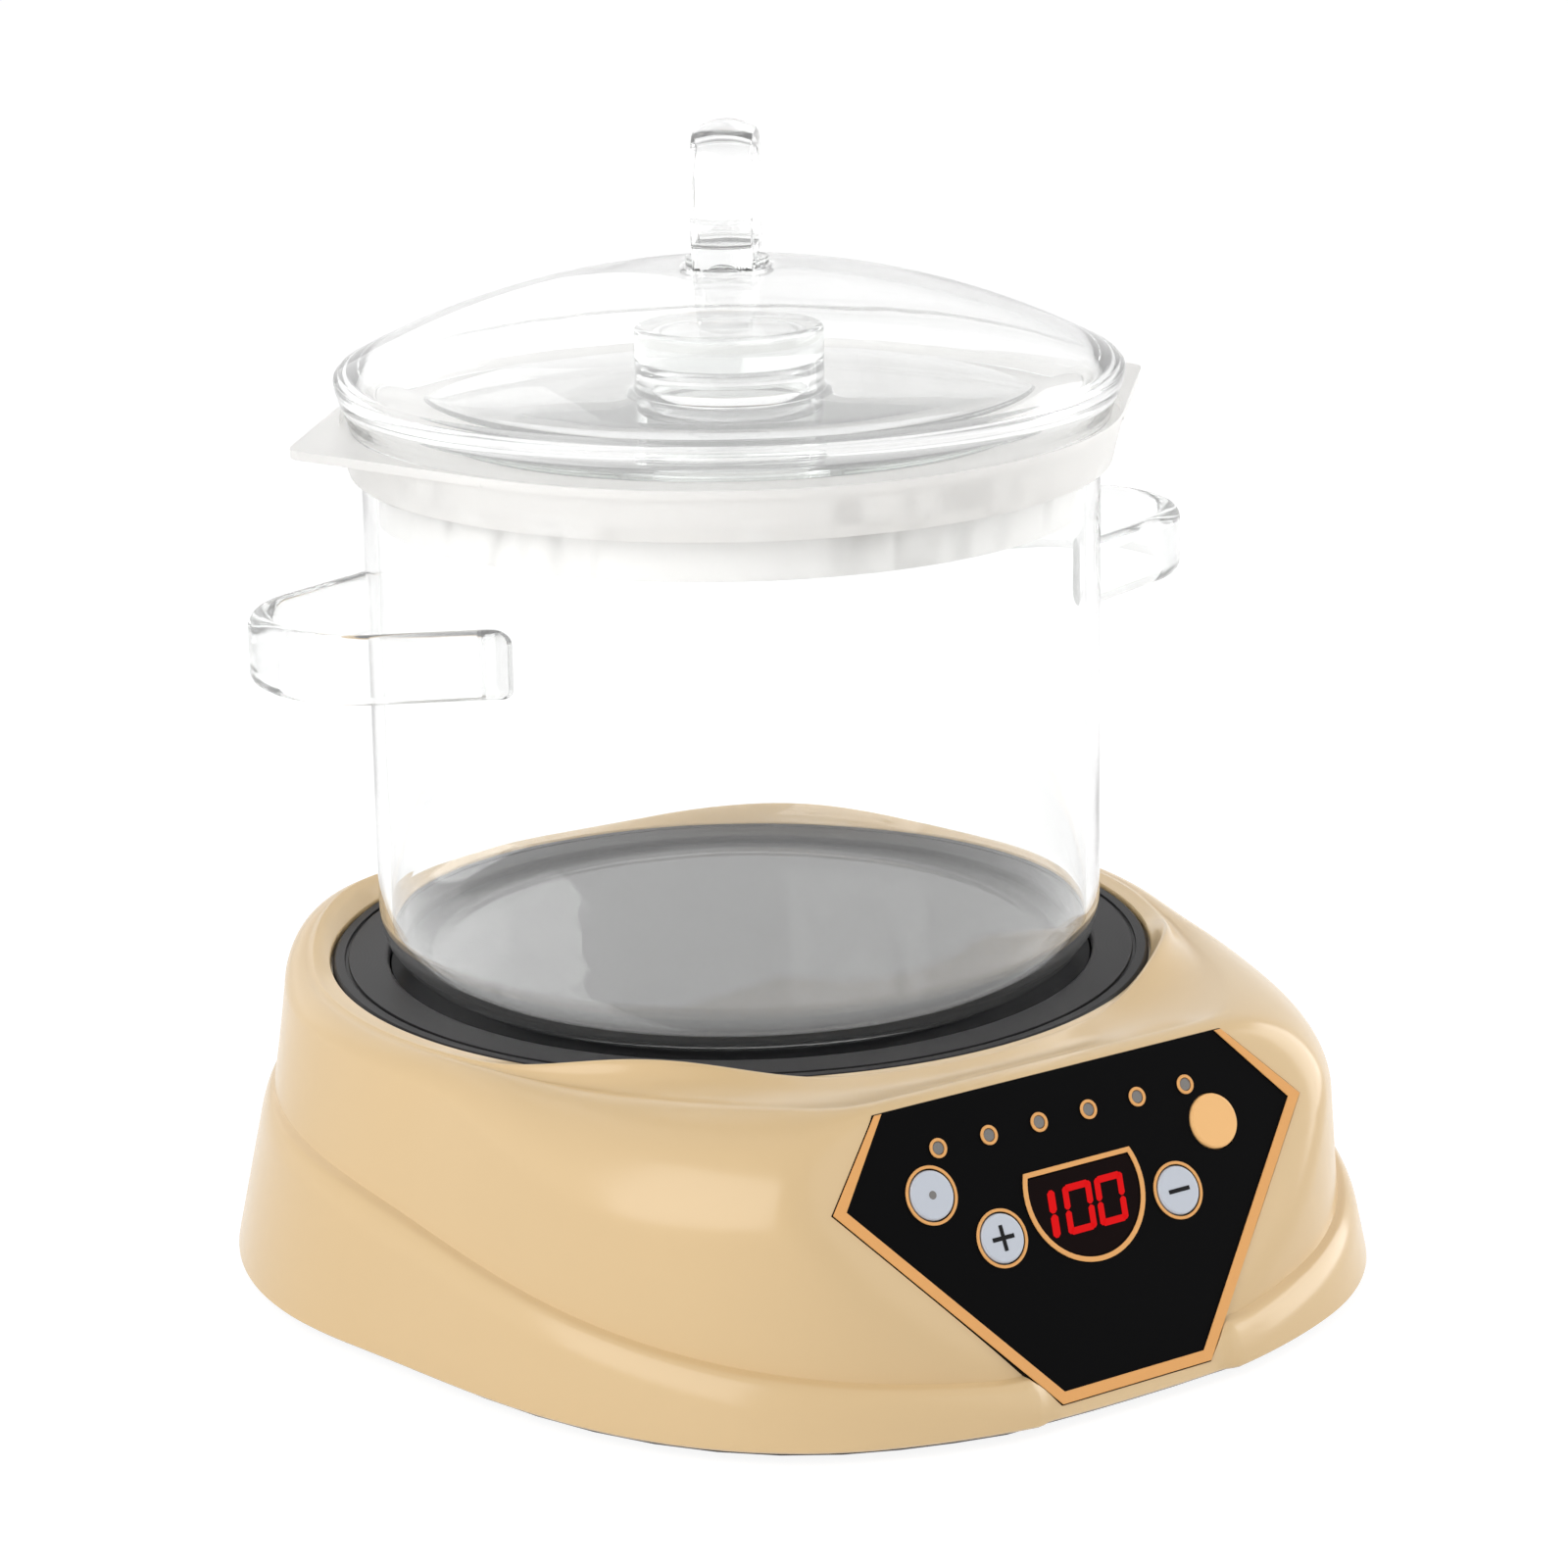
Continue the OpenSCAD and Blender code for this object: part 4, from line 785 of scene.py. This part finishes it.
class STEWPOT_OT_underside(Operator):
    """Dress the bottom plate, feet, screws and mains inlet"""

    bl_idname = "stewpot.underside"
    bl_label = "Underside and inlet"

    finishes = (
        ("bottom_plate", 0.4, dict(name="Underside grey", colour=(0.03, 0.029, 0.028), gloss=0.55, grain=700.0,
                                   relief=0.00006)),
        ("rubber_feet", 0.4, dict(name="Foot rubber", colour=(0.012, 0.012, 0.012), gloss=0.75, grain=1200.0,
                                  relief=0.00004)),
        ("housing_screws", 0.15, dict(name="Zinc screws", colour=(0.55, 0.55, 0.56), gloss=0.32, grain=1500.0,
                                      metallic=1.0)),
        ("inlet_socket", 0.5, dict(name="Inlet black", colour=(0.012, 0.012, 0.013), gloss=0.45, grain=1000.0,
                                   relief=0.00003)),
        ("inlet_pins", 0.4, dict(name="Nickel pins", colour=(0.66, 0.63, 0.55), gloss=0.22, grain=1500.0,
                                 metallic=1.0)),
    )

    def execute(self, context):
        for node, edge, finish in self.finishes:
            dressed(node, moulded(**finish), edge)
        return {"FINISHED"}


class STEWPOT_OT_hob(Operator):
    """Dress the hob ring and the heating plate"""

    bl_idname = "stewpot.hob"
    bl_label = "Hob"

    def execute(self, context):
        look = context.scene.stewpot_housing
        dressed("hob_ring", turned_coat("Charcoal enamel", look.hob_colour, 0.34, 0.06), 0.18)
        dressed("heating_plate", turned_coat("Black coat", look.plate_colour, 0.2, 0.01), 0.4)
        return {"FINISHED"}


class STEWPOT_OT_panel(Operator):
    """Dress the key panel, its border and its trims"""

    bl_idname = "stewpot.panel"
    bl_label = "Key panel"

    def execute(self, context):
        look = context.scene.stewpot_panel
        film = moulded("Panel film", look.film_colour, 0.42, shade=0.3, grain=2500.0, shine=0.02)
        copper = moulded("Copper print", look.copper_colour, 0.36, shade=0.06, grain=2200.0, shine=0.2)
        dressed("panel_plate", film, 0.1)
        for node in ("panel_border", "display_bezel", "indicator_rings", "key_rings"):
            dressed(node, copper, 0.12)
        dressed("indicator_lights", moulded("Lens grey", (0.17, 0.16, 0.15), 0.5, shade=0.5, grain=2600.0,
                                            relief=0.0001), 0.15)
        return {"FINISHED"}


class STEWPOT_OT_keys(Operator):
    """Dress the four keys and print their signs"""

    bl_idname = "stewpot.keys"
    bl_label = "Keys"

    sign_half, sign_sunk, sign_high, sign_edge = 0.55, 0.05, 0.1, 0.05
    light_r, light_high, light_sunk, light_edge = 1.05, 0.22, 0.1, 0.1

    def execute(self, context):
        look = context.scene.stewpot_panel
        pearl = moulded("Key pearl", look.key_colour, 0.32, shade=0.08, grain=2000.0, shine=0.3)
        copper = moulded("Function key", look.function_colour, 0.34, shade=0.06, grain=2000.0, shine=0.2)
        ink = moulded("Sign ink", (0.006, 0.006, 0.007), 0.5, grain=2600.0, shine=0.1)
        for node, finish in (("plus_key", pearl), ("minus_key", pearl), ("timer_key", pearl),
                             ("function_key", copper)):
            dressed(node, finish, 0.25)
        half, thick = look.sign_long / MM / 2, self.sign_half
        cross = [(half, -thick), (half, thick), (thick, thick), (thick, half), (-thick, half),
                 (-thick, thick), (-half, thick), (-half, -thick), (-thick, -thick), (-thick, -half),
                 (thick, -half), (thick, -thick)]
        bar = [(half, -thick), (half, thick), (-half, thick), (-half, -thick)]
        for node, shape in (("plus_key", cross), ("minus_key", bar)):
            bm = bmesh.new()
            slab(bm, shape, -self.sign_sunk, self.sign_high, panel_place(face_middle(node)))
            soften(bm, self.sign_edge, segments=2)
            finished(node.replace("key", "sign"), bm, ink, node)
        bm = bmesh.new()
        bmesh.ops.create_circle(bm, cap_ends=True, radius=self.light_r, segments=32)
        pulled_up(bm, bm.faces[:], self.light_high)
        sunk = Matrix.Translation((0, 0, -self.light_sunk))
        bmesh.ops.transform(bm, matrix=panel_place(face_middle("timer_key")) @ sunk, verts=bm.verts)
        soften(bm, self.light_edge)
        finished("timer_light", bm, bpy.data.materials["Lens grey"], "timer_key")
        return {"FINISHED"}


class STEWPOT_OT_display(Operator):
    """Dress the display window and light its digits"""

    bl_idname = "stewpot.display"
    bl_label = "Display"

    thick, one_thick, gap, edge_in, lift = 1.75, 2.2, 0.5, 0.88, 1.4
    one_x, nought_xs, nought_trim, rise_trim, sunk, raised = -10.7, (-2.75, 7.15), 1.5, 0.1, 0.05, 0.12

    def segment(self, bm, x, y, length, thick, upright, place):
        """One eight-sided segment, narrowed at both ends."""
        a, b, tip = length / 2, thick / 2, thick / 6
        corners = [(a, -tip), (a, tip), (a - b + tip, b), (b - a - tip, b), (-a, tip), (-a, -tip),
                   (b - a - tip, -b), (a - b + tip, -b)]
        if upright:
            corners = [(-q, p) for p, q in corners]
        slab(bm, [(x + p, y + q) for p, q in corners], -self.sunk, self.raised, place)

    def execute(self, context):
        look = context.scene.stewpot_panel
        smoked = moulded("Smoked window", (0.005, 0.0015, 0.0015), 0.3, grain=2600.0, shine=0.03)
        dressed("display_window", smoked, 0.1)
        high, wide = look.digit_high / MM, look.digit_wide / MM
        lean = Matrix.Identity(4)
        lean[0][1] = math.tan(look.digit_slant)
        place = panel_place(face_middle("display_window")) @ Matrix.Translation((0, self.lift, 0)) @ lean
        bm = bmesh.new()
        thick, upright = self.thick, high / 2 - self.gap
        side, rise = wide / 2 - self.edge_in, high / 4 - self.rise_trim
        for y in (rise, -rise):
            self.segment(bm, self.one_x, y, upright, self.one_thick, True, place)
        for middle in self.nought_xs:
            for y in (rise, -rise):
                for end in (-1, 1):
                    self.segment(bm, middle + end * side, y, upright, thick, True, place)
            for y in (self.edge_in - high / 2, high / 2 - self.edge_in):
                self.segment(bm, middle, y, wide - self.nought_trim, thick, False, place)
        finished("lit_digits", bm, lit("Lit digits", look.digit_colour, 0.75), "base")
        return {"FINISHED"}


class STEWPOT_OT_glass_pot(Operator):
    """Spin the glass pot and bend its two ears"""

    bl_idname = "stewpot.glass_pot"
    bl_label = "Glass pot"

    wall, corner, rim = 3.6, 16.0, 1.78
    root_deep, root_half, tip_half, strip, bend = 12.0, 43.1, 21.0, 7.0, 30.0
    sunk, tip_band = 1.0, 1.2

    def ear_outline(self, pot_r, out):
        """Corners of an ear seen from above, with their radii: outside first, then inside."""
        root = pot_r - self.root_deep
        side = Vector((root - out, self.root_half - self.tip_half)).normalized()
        inward = (side - Vector((0, 1))).normalized()
        step = inward * self.strip / math.sin(side.angle(Vector((0, -1))) / 2)
        inner = Vector((out, self.tip_half)) + step
        inner_root = inner.y + (root - inner.x) * side.y / side.x
        half = [(root, self.root_half, 0), (out, self.tip_half, self.bend)]
        inside = [(inner.x, inner.y, self.bend - self.strip), (root, inner_root, 0)]
        return ([(x, -y, r) for x, y, r in half] + half[::-1]
                + inside[::-1] + [(x, -y, r) for x, y, r in inside])

    def ear(self, node, pot_r, edge, glass):
        """One ear, bent from a strip and trimmed inside the pot's wall."""
        low, high = corners_of(node)
        tall = (high.z - low.z) / MM
        spots = [v.co - AXIS for v in frame["nodes"][node].data.vertices]
        far = max(p.xy.length for p in spots)
        tips = [p.xy for p in spots if p.xy.length > far - self.tip_band * MM]
        along = sum(tips, Vector((0, 0))).normalized()
        out = max(p.xy.dot(along) for p in spots) / MM
        bm = bmesh.new()
        outline = self.ear_outline(pot_r, out)
        verts = [bm.verts.new((x, y, 0)) for x, y, _ in outline]
        bm.faces.new(verts)
        for vert, (_, _, radius) in zip(verts, outline):
            if radius:
                round_vert(bm, vert, radius, 14)
        bmesh.ops.recalc_face_normals(bm, faces=bm.faces)
        pulled_up(bm, bm.faces[:], tall)
        bmesh.ops.recalc_face_normals(bm, faces=bm.faces)
        rims = [e for e in bm.edges if e.calc_face_angle(0) > math.radians(60)
                and abs(e.verts[0].co.z - e.verts[1].co.z) < 0.01]
        bevelled(bm, rims, edge / MM, 6)
        turn = Matrix.Rotation(math.atan2(along.y, along.x), 4, "Z")
        place = Matrix.Translation(AXIS + Vector((0, 0, low.z))) @ turn @ Matrix.Scale(MM, 4)
        bmesh.ops.transform(bm, matrix=place, verts=bm.verts)
        piece = finished(node + "_bent", bm, glass, "pot", (node,))
        room = pot_r - self.sunk
        drum = lathe([(0, -tall, 0), (room, -tall, 0), (room, 2 * tall, 0), (0, 2 * tall, 0)], low.z)
        cut_or_join(piece, [plain_object(drum, node + "_trim")], "DIFFERENCE")
        smoothed(piece, 40.0)

    def execute(self, context):
        look = context.scene.stewpot_glass
        low, high = corners_of("glass_pot")
        r, h, wall = (high.x - low.x) / 2 / MM, (high.z - low.z) / MM, self.wall
        bm = lathe([(0, 0, 0), (r, 0, self.corner), (r, h, self.rim), (r - wall, h, self.rim),
                    (r - wall, wall, self.corner - wall), (0, wall, 0)], low.z)
        glass = clear_glass("Pot glass", look.tint, look.density, 0.005, haze=look.pot_haze, index=1.38)
        finished("glass_pot_spun", bm, glass, "pot", ("glass_pot",))
        ear_glass = clear_glass("Ear glass", look.tint, look.density, 0.01, haze=look.ear_haze, index=1.34)
        for node in ("left_ear", "right_ear"):
            self.ear(node, r, look.ear_edge, ear_glass)
        return {"FINISHED"}


class STEWPOT_OT_collar(Operator):
    """Dress the frosted collar and its wings"""

    bl_idname = "stewpot.collar"
    bl_label = "Collar"

    def execute(self, context):
        look = context.scene.stewpot_glass
        dressed("collar", frosted("Frosted collar", look.frost_colour, 0.42, look.frost_clear), 0.4)
        return {"FINISHED"}


class STEWPOT_OT_inner_lid(Operator):
    """Spin the flat inner lid with its hollow knob"""

    bl_idname = "stewpot.inner_lid"
    bl_label = "Inner lid"

    thick, crown, crown_rs = 4.0, 2.6, (66, 52, 38, 29)
    knob_r, knob_wall, knob_top, knob_rise = 25.0, 4.5, 9.6, 0.3

    def execute(self, context):
        look = context.scene.stewpot_glass
        low, high = corners_of("inner_lid")
        lid_r, knob_r, knob_h = (high.x - low.x) / 2 / MM, self.knob_r, (high.z - low.z) / MM
        hollow, hollow_top = knob_r - self.knob_wall, knob_h - self.knob_top
        crown = [(r, self.thick + self.crown * (1 - (r / lid_r) ** 2)) for r in self.crown_rs]
        bm = lathe([(hollow, 0, 1.2), (lid_r, 0, 1.8), (lid_r, self.thick, 1.9)] + [(r, h, 0) for r, h in crown]
                   + [(knob_r, crown[-1][1] + self.knob_rise, 2.4), (knob_r, knob_h, 1.8), (0, knob_h, 0),
                      (0, hollow_top, 0), (hollow, hollow_top, 4.0)], low.z)
        glass = clear_glass("Lid glass", look.tint, look.density, 0.005, wave=0.0001, haze=look.lid_haze)
        finished("inner_lid_glass", bm, glass, "inner_lid", ("inner_lid",))
        return {"FINISHED"}


class STEWPOT_OT_dome_lid(Operator):
    """Spin the domed lid and fuse its loop handle to it"""

    bl_idname = "stewpot.dome_lid"
    bl_label = "Domed lid"

    seat_r, rim_r, bulge_h, edge_h, cap_r, high, thick = 100.8, 104.4, 12.6, 14.6, 103.2, 40.4, 4.0
    inner_rows, outer_rows, rim_h, cap_steps = (9.0, 7.0, 5.0, 3.0), (3.0, 5.0, 7.0, 9.0, 11.0), 13.2, 16
    loop_edge, loop_sink, crown_low, crown_high, crown = 2.4, 0.4, 7.0, 16.0, 0.13

    def side(self, z):
        return mix(self.seat_r, self.rim_r, ease(z / self.bulge_h))

    def loop(self, top_z):
        """The loop handle with round edges, its strip crowned so that its middle stands out."""
        bm = merged_copy("lid_loop")
        soften(bm, self.loop_edge, sharp=50.0, segments=6)
        across = self.loop_across()
        middle = Vector((AXIS.x, AXIS.y, (top_z + corners_of("lid_loop")[1].z) / 2))
        reach = max(abs((v.co - middle).dot(across)) for v in bm.verts
                    if v.co.z > top_z + self.crown_high * MM)
        for share in (-0.75, -0.5, -0.25, 0.0, 0.25, 0.5, 0.75):
            bmesh.ops.bisect_plane(bm, geom=bm.verts[:] + bm.edges[:] + bm.faces[:], dist=1e-7,
                                   plane_co=middle + across * reach * share, plane_no=across)
        for v in bm.verts:
            off = v.co - middle
            aside = across * off.dot(across)
            grown = ease(((v.co.z - top_z) / MM - self.crown_low) / (self.crown_high - self.crown_low))
            squeeze = 1 - self.crown * grown * min(1.0, aside.length / reach) ** 2
            v.co = middle + aside + (off - aside) * squeeze
        bmesh.ops.translate(bm, verts=bm.verts, vec=(0, 0, -self.loop_sink * MM))
        return plain_object(bm, "loop_glass")

    def loop_across(self):
        """Direction of the loop's width: the narrower way across its upper half."""
        low, high = corners_of("lid_loop")
        spots = [v.co.xy - AXIS.xy for v in frame["nodes"]["lid_loop"].data.vertices
                 if v.co.z > (low.z + high.z) / 2]
        turns = [Vector((cosd(t), sind(t))) for t in range(180)]
        best = min(turns, key=lambda u: max(abs(p.dot(u)) for p in spots))
        return best.to_3d()

    def execute(self, context):
        look = context.scene.stewpot_glass
        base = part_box("dome_lid")[0][2]
        rise = self.high - self.edge_h
        ball = (self.cap_r ** 2 + rise ** 2) / (2 * rise)
        centre = self.high - ball
        inside, inside_r = ball - self.thick, self.cap_r - self.thick
        profile = [(0, self.high - self.thick, 0)]
        steps = self.cap_steps
        profile += [(r, centre + math.sqrt(inside ** 2 - r * r), 0)
                    for r in (inside_r * i / steps for i in range(1, steps + 1))]
        profile += [(self.side(z) - self.thick, z, 0) for z in self.inner_rows]
        profile += [(self.seat_r - self.thick, 0, 1.6), (self.seat_r, 0, 1.6)]
        profile += [(self.side(z), z, 0) for z in self.outer_rows]
        profile += [(self.rim_r, self.rim_h, 1.2), (self.cap_r - 0.4, self.edge_h + 0.2, 1.0)]
        profile += [(r, centre + math.sqrt(ball ** 2 - r * r), 0)
                    for r in (self.cap_r * (1 - i / steps) for i in range(1, steps))]
        profile += [(0, self.high, 0)]
        bm = lathe(profile, base)
        glass = clear_glass("Dome glass", look.tint, 0.5 * look.density, 0.01, wave=0.0001, haze=look.dome_haze)
        dome = finished("dome_lid_fused", bm, glass, "outer_lid", ("dome_lid", "lid_loop"))
        cut_or_join(dome, [self.loop(base + self.high * MM)], "UNION")
        smoothed(dome, 40.0)
        return {"FINISHED"}


class STEWPOT_OT_inner_works(Operator):
    """Finish the pieces inside the base"""

    bl_idname = "stewpot.inner_works"
    bl_label = "Inner works"

    finishes = (
        ("Element tube", (0.22, 0.21, 0.20), 0.45, 1.0, ("heating_element",)),
        ("Reflector sheet", (0.75, 0.75, 0.76), 0.25, 1.0, ("heat_reflector",)),
        ("Ceramic", (0.78, 0.74, 0.64), 0.7, 0.0, ("reflector_posts", "board_standoffs", "thermal_cutout")),
        ("Probe steel", (0.6, 0.6, 0.61), 0.28, 1.0, ("temperature_probe", "probe_spring")),
        ("Board lacquer", (0.02, 0.12, 0.05), 0.35, 0.0, ("power_board", "control_board")),
        ("Relay case", (0.03, 0.09, 0.32), 0.4, 0.0, ("relay",)),
        ("Capacitor case", (0.55, 0.34, 0.03), 0.4, 0.0, ("capacitor",)),
        ("Winding tape", (0.5, 0.33, 0.06), 0.55, 0.0, ("transformer",)),
        ("Switch body", (0.02, 0.02, 0.021), 0.5, 0.0, ("key_switches", "display_module")),
    )

    def execute(self, context):
        for name, colour, gloss, metallic, nodes in self.finishes:
            finish = moulded(name, colour, gloss, shade=0.15, grain=800.0, relief=0.00002, metallic=metallic)
            for node in nodes:
                paint(node, finish)
        return {"FINISHED"}


class STEWPOT_OT_stage(Operator):
    """Lay the floor, light the room and set the camera"""

    bl_idname = "stewpot.stage"
    bl_label = "Stage"

    floor_half, floor_drop, floor_share, floor_white, aim_high = 4.0, 0.0002, 0.7, 1.25, 0.1
    # name, place, size and share of the lamp power
    lamps = (("left_lamp", (-1.7, -0.4, 1.0), 1.8, 1.0), ("right_lamp", (1.8, -0.4, 0.6), 1.4, 0.85),
             ("front_lamp", (1.0, -1.6, 0.9), 1.6, 0.18), ("back_lamp", (0.2, 1.9, 1.2), 1.8, 0.2))

    def seen_directly(self, tree):
        """1 for a camera, glossy or transmitted ray, else 0."""
        path = tree.nodes.new("ShaderNodeLightPath")
        either = math_in(tree, "MAXIMUM", path.outputs["Is Camera Ray"], path.outputs["Is Glossy Ray"])
        return math_in(tree, "MAXIMUM", either, path.outputs["Is Transmission Ray"])

    def toward(self, tree, way):
        """How near a ray of the world runs to a way, from 0 to 1, squared."""
        spots = tree.nodes.new("ShaderNodeTexCoord")
        along = tree.nodes.new("ShaderNodeVectorMath")
        along.operation = "DOT_PRODUCT"
        along.inputs[1].default_value = way
        tree.links.new(spots.outputs["Generated"], along.inputs[0])
        return math_in(tree, "MULTIPLY", along.outputs["Value"], along.outputs["Value"])

    def extra_light(self, tree, right, glow, shade):
        """More light from the sides in reflections, and less from overhead through the glass."""
        path = tree.nodes.new("ShaderNodeLightPath")
        added = math_in(tree, "MULTIPLY", path.outputs["Is Glossy Ray"], glow)
        lost = math_in(tree, "MULTIPLY", path.outputs["Is Transmission Ray"], shade)
        added = math_in(tree, "MULTIPLY", self.toward(tree, right), added)
        return math_in(tree, "SUBTRACT", added, math_in(tree, "MULTIPLY", self.toward(tree, (0, 0, 1)), lost))

    def lamp(self, name, spot, target, size, power):
        """A large square lamp that faces a target."""
        light = bpy.data.lights.new(name, "AREA")
        light.shape = "SQUARE"
        light.size = size
        light.energy = power
        lamp = linked(name, light)
        lamp.location = spot
        lamp.rotation_euler = (Vector(target) - Vector(spot)).to_track_quat("-Z", "Y").to_euler()

    def lay_floor(self, look):
        """A pale floor that keeps shadows, and that is clear from below."""
        bm = bmesh.new()
        bmesh.ops.create_grid(bm, x_segments=1, y_segments=1, size=self.floor_half)
        bmesh.ops.translate(bm, verts=bm.verts, vec=(0, 0, -self.floor_drop))
        floor = linked("floor", mesh_from(bm, "floor"))
        material = bpy.data.materials.new("Pale floor")
        material.use_nodes = True
        tree = material.node_tree
        tree.nodes.clear()
        matt = node_in(tree, "ShaderNodeBsdfDiffuse", Color=(*look.floor_colour, 1))
        white = node_in(tree, "ShaderNodeEmission", Color=(1, 1, 1, 1), Strength=self.floor_white)
        share = math_in(tree, "MULTIPLY", self.seen_directly(tree), self.floor_share)
        above = blended(tree, share, matt.outputs["BSDF"], white.outputs["Emission"])
        sides = tree.nodes.new("ShaderNodeNewGeometry")
        below = tree.nodes.new("ShaderNodeBsdfTransparent")
        one_sided = blended(tree, sides.outputs["Backfacing"], above, below.outputs["BSDF"])
        end = tree.nodes.new("ShaderNodeOutputMaterial")
        tree.links.new(one_sided, end.inputs["Surface"])
        floor.data.materials.append(material)

    def light_room(self, look, right):
        """A world that is white where it is seen and even where it lights, and four soft lamps."""
        world = bpy.data.worlds.new("Studio")
        bpy.context.scene.world = world
        world.use_nodes = True
        tree = world.node_tree
        sky = next(n for n in tree.nodes if n.type == "BACKGROUND")
        set_inputs(sky, Color=(1, 1, 1, 1))
        seen = math_in(tree, "MULTIPLY", self.seen_directly(tree), 1.0 - look.sky)
        level = math_in(tree, "ADD", seen, look.sky)
        extra = self.extra_light(tree, right, look.side_glow, look.top_shade)
        tree.links.new(math_in(tree, "ADD", level, extra), sky.inputs["Strength"])
        middle = (0, AXIS.y, self.aim_high)
        for name, spot, size, share in self.lamps:
            self.lamp(name, spot, middle, size, share * look.lamps)

    def set_camera(self, look, right):
        """The photograph's view."""
        away = Vector((-math.sin(look.heading), math.cos(look.heading), 0))
        ahead = away * math.cos(look.dip) - Vector((0, 0, math.sin(look.dip)))
        side = right * math.cos(look.roll) + right.cross(ahead) * math.sin(look.roll)
        view = Matrix((side, side.cross(ahead), -ahead)).transposed().to_4x4()
        lens = bpy.data.cameras.new("photo_view")
        lens.lens = look.lens
        lens.sensor_width = 36.0
        camera = linked("photo_view", lens)
        camera.matrix_world = Matrix.Translation(look.camera_place) @ view
        bpy.context.scene.camera = camera

    def execute(self, context):
        look = context.scene.stewpot_stage
        context.scene.view_settings.view_transform = "Standard"
        right = Vector((math.cos(look.heading), math.sin(look.heading), 0))
        self.lay_floor(look)
        self.light_room(look, right)
        self.set_camera(look, right)
        return {"FINISHED"}


PIECES = (STEWPOT_OT_housing, STEWPOT_OT_underside, STEWPOT_OT_hob, STEWPOT_OT_panel, STEWPOT_OT_keys,
          STEWPOT_OT_display, STEWPOT_OT_glass_pot, STEWPOT_OT_collar, STEWPOT_OT_inner_lid,
          STEWPOT_OT_dome_lid, STEWPOT_OT_inner_works, STEWPOT_OT_stage)
LOOKS = {"stewpot_housing": StewPotHousingLook, "stewpot_panel": StewPotPanelLook,
         "stewpot_glass": StewPotGlassLook, "stewpot_stage": StewPotStageLook}


class STEWPOT_PT_sidebar(Panel):
    """Lists the pieces and their settings"""

    bl_idname = "STEWPOT_PT_sidebar"
    bl_label = "Stew pot"
    bl_space_type = "VIEW_3D"
    bl_region_type = "UI"
    bl_category = "Stew pot"

    def draw(self, context):
        for piece in PIECES:
            self.layout.operator(piece.bl_idname)
        for name, kind in LOOKS.items():
            box = self.layout.box()
            for setting in kind.__annotations__:
                box.prop(getattr(context.scene, name), setting)


CLASSES = (*LOOKS.values(), *PIECES, STEWPOT_PT_sidebar)


def register():
    for kind in CLASSES:
        bpy.utils.register_class(kind)
    for name, kind in LOOKS.items():
        setattr(bpy.types.Scene, name, PointerProperty(type=kind))


def unregister():
    for name in LOOKS:
        delattr(bpy.types.Scene, name)
    for kind in reversed(CLASSES):
        bpy.utils.unregister_class(kind)


def main():
    register()
    bpy.ops.stewpot.stage()
    bpy.ops.stewpot.housing()
    bpy.ops.stewpot.underside()
    bpy.ops.stewpot.hob()
    bpy.ops.stewpot.panel()
    bpy.ops.stewpot.keys()
    bpy.ops.stewpot.display()
    bpy.ops.stewpot.glass_pot()
    bpy.ops.stewpot.collar()
    bpy.ops.stewpot.inner_lid()
    bpy.ops.stewpot.dome_lid()
    bpy.ops.stewpot.inner_works()


if __name__ == "__main__":
    main()
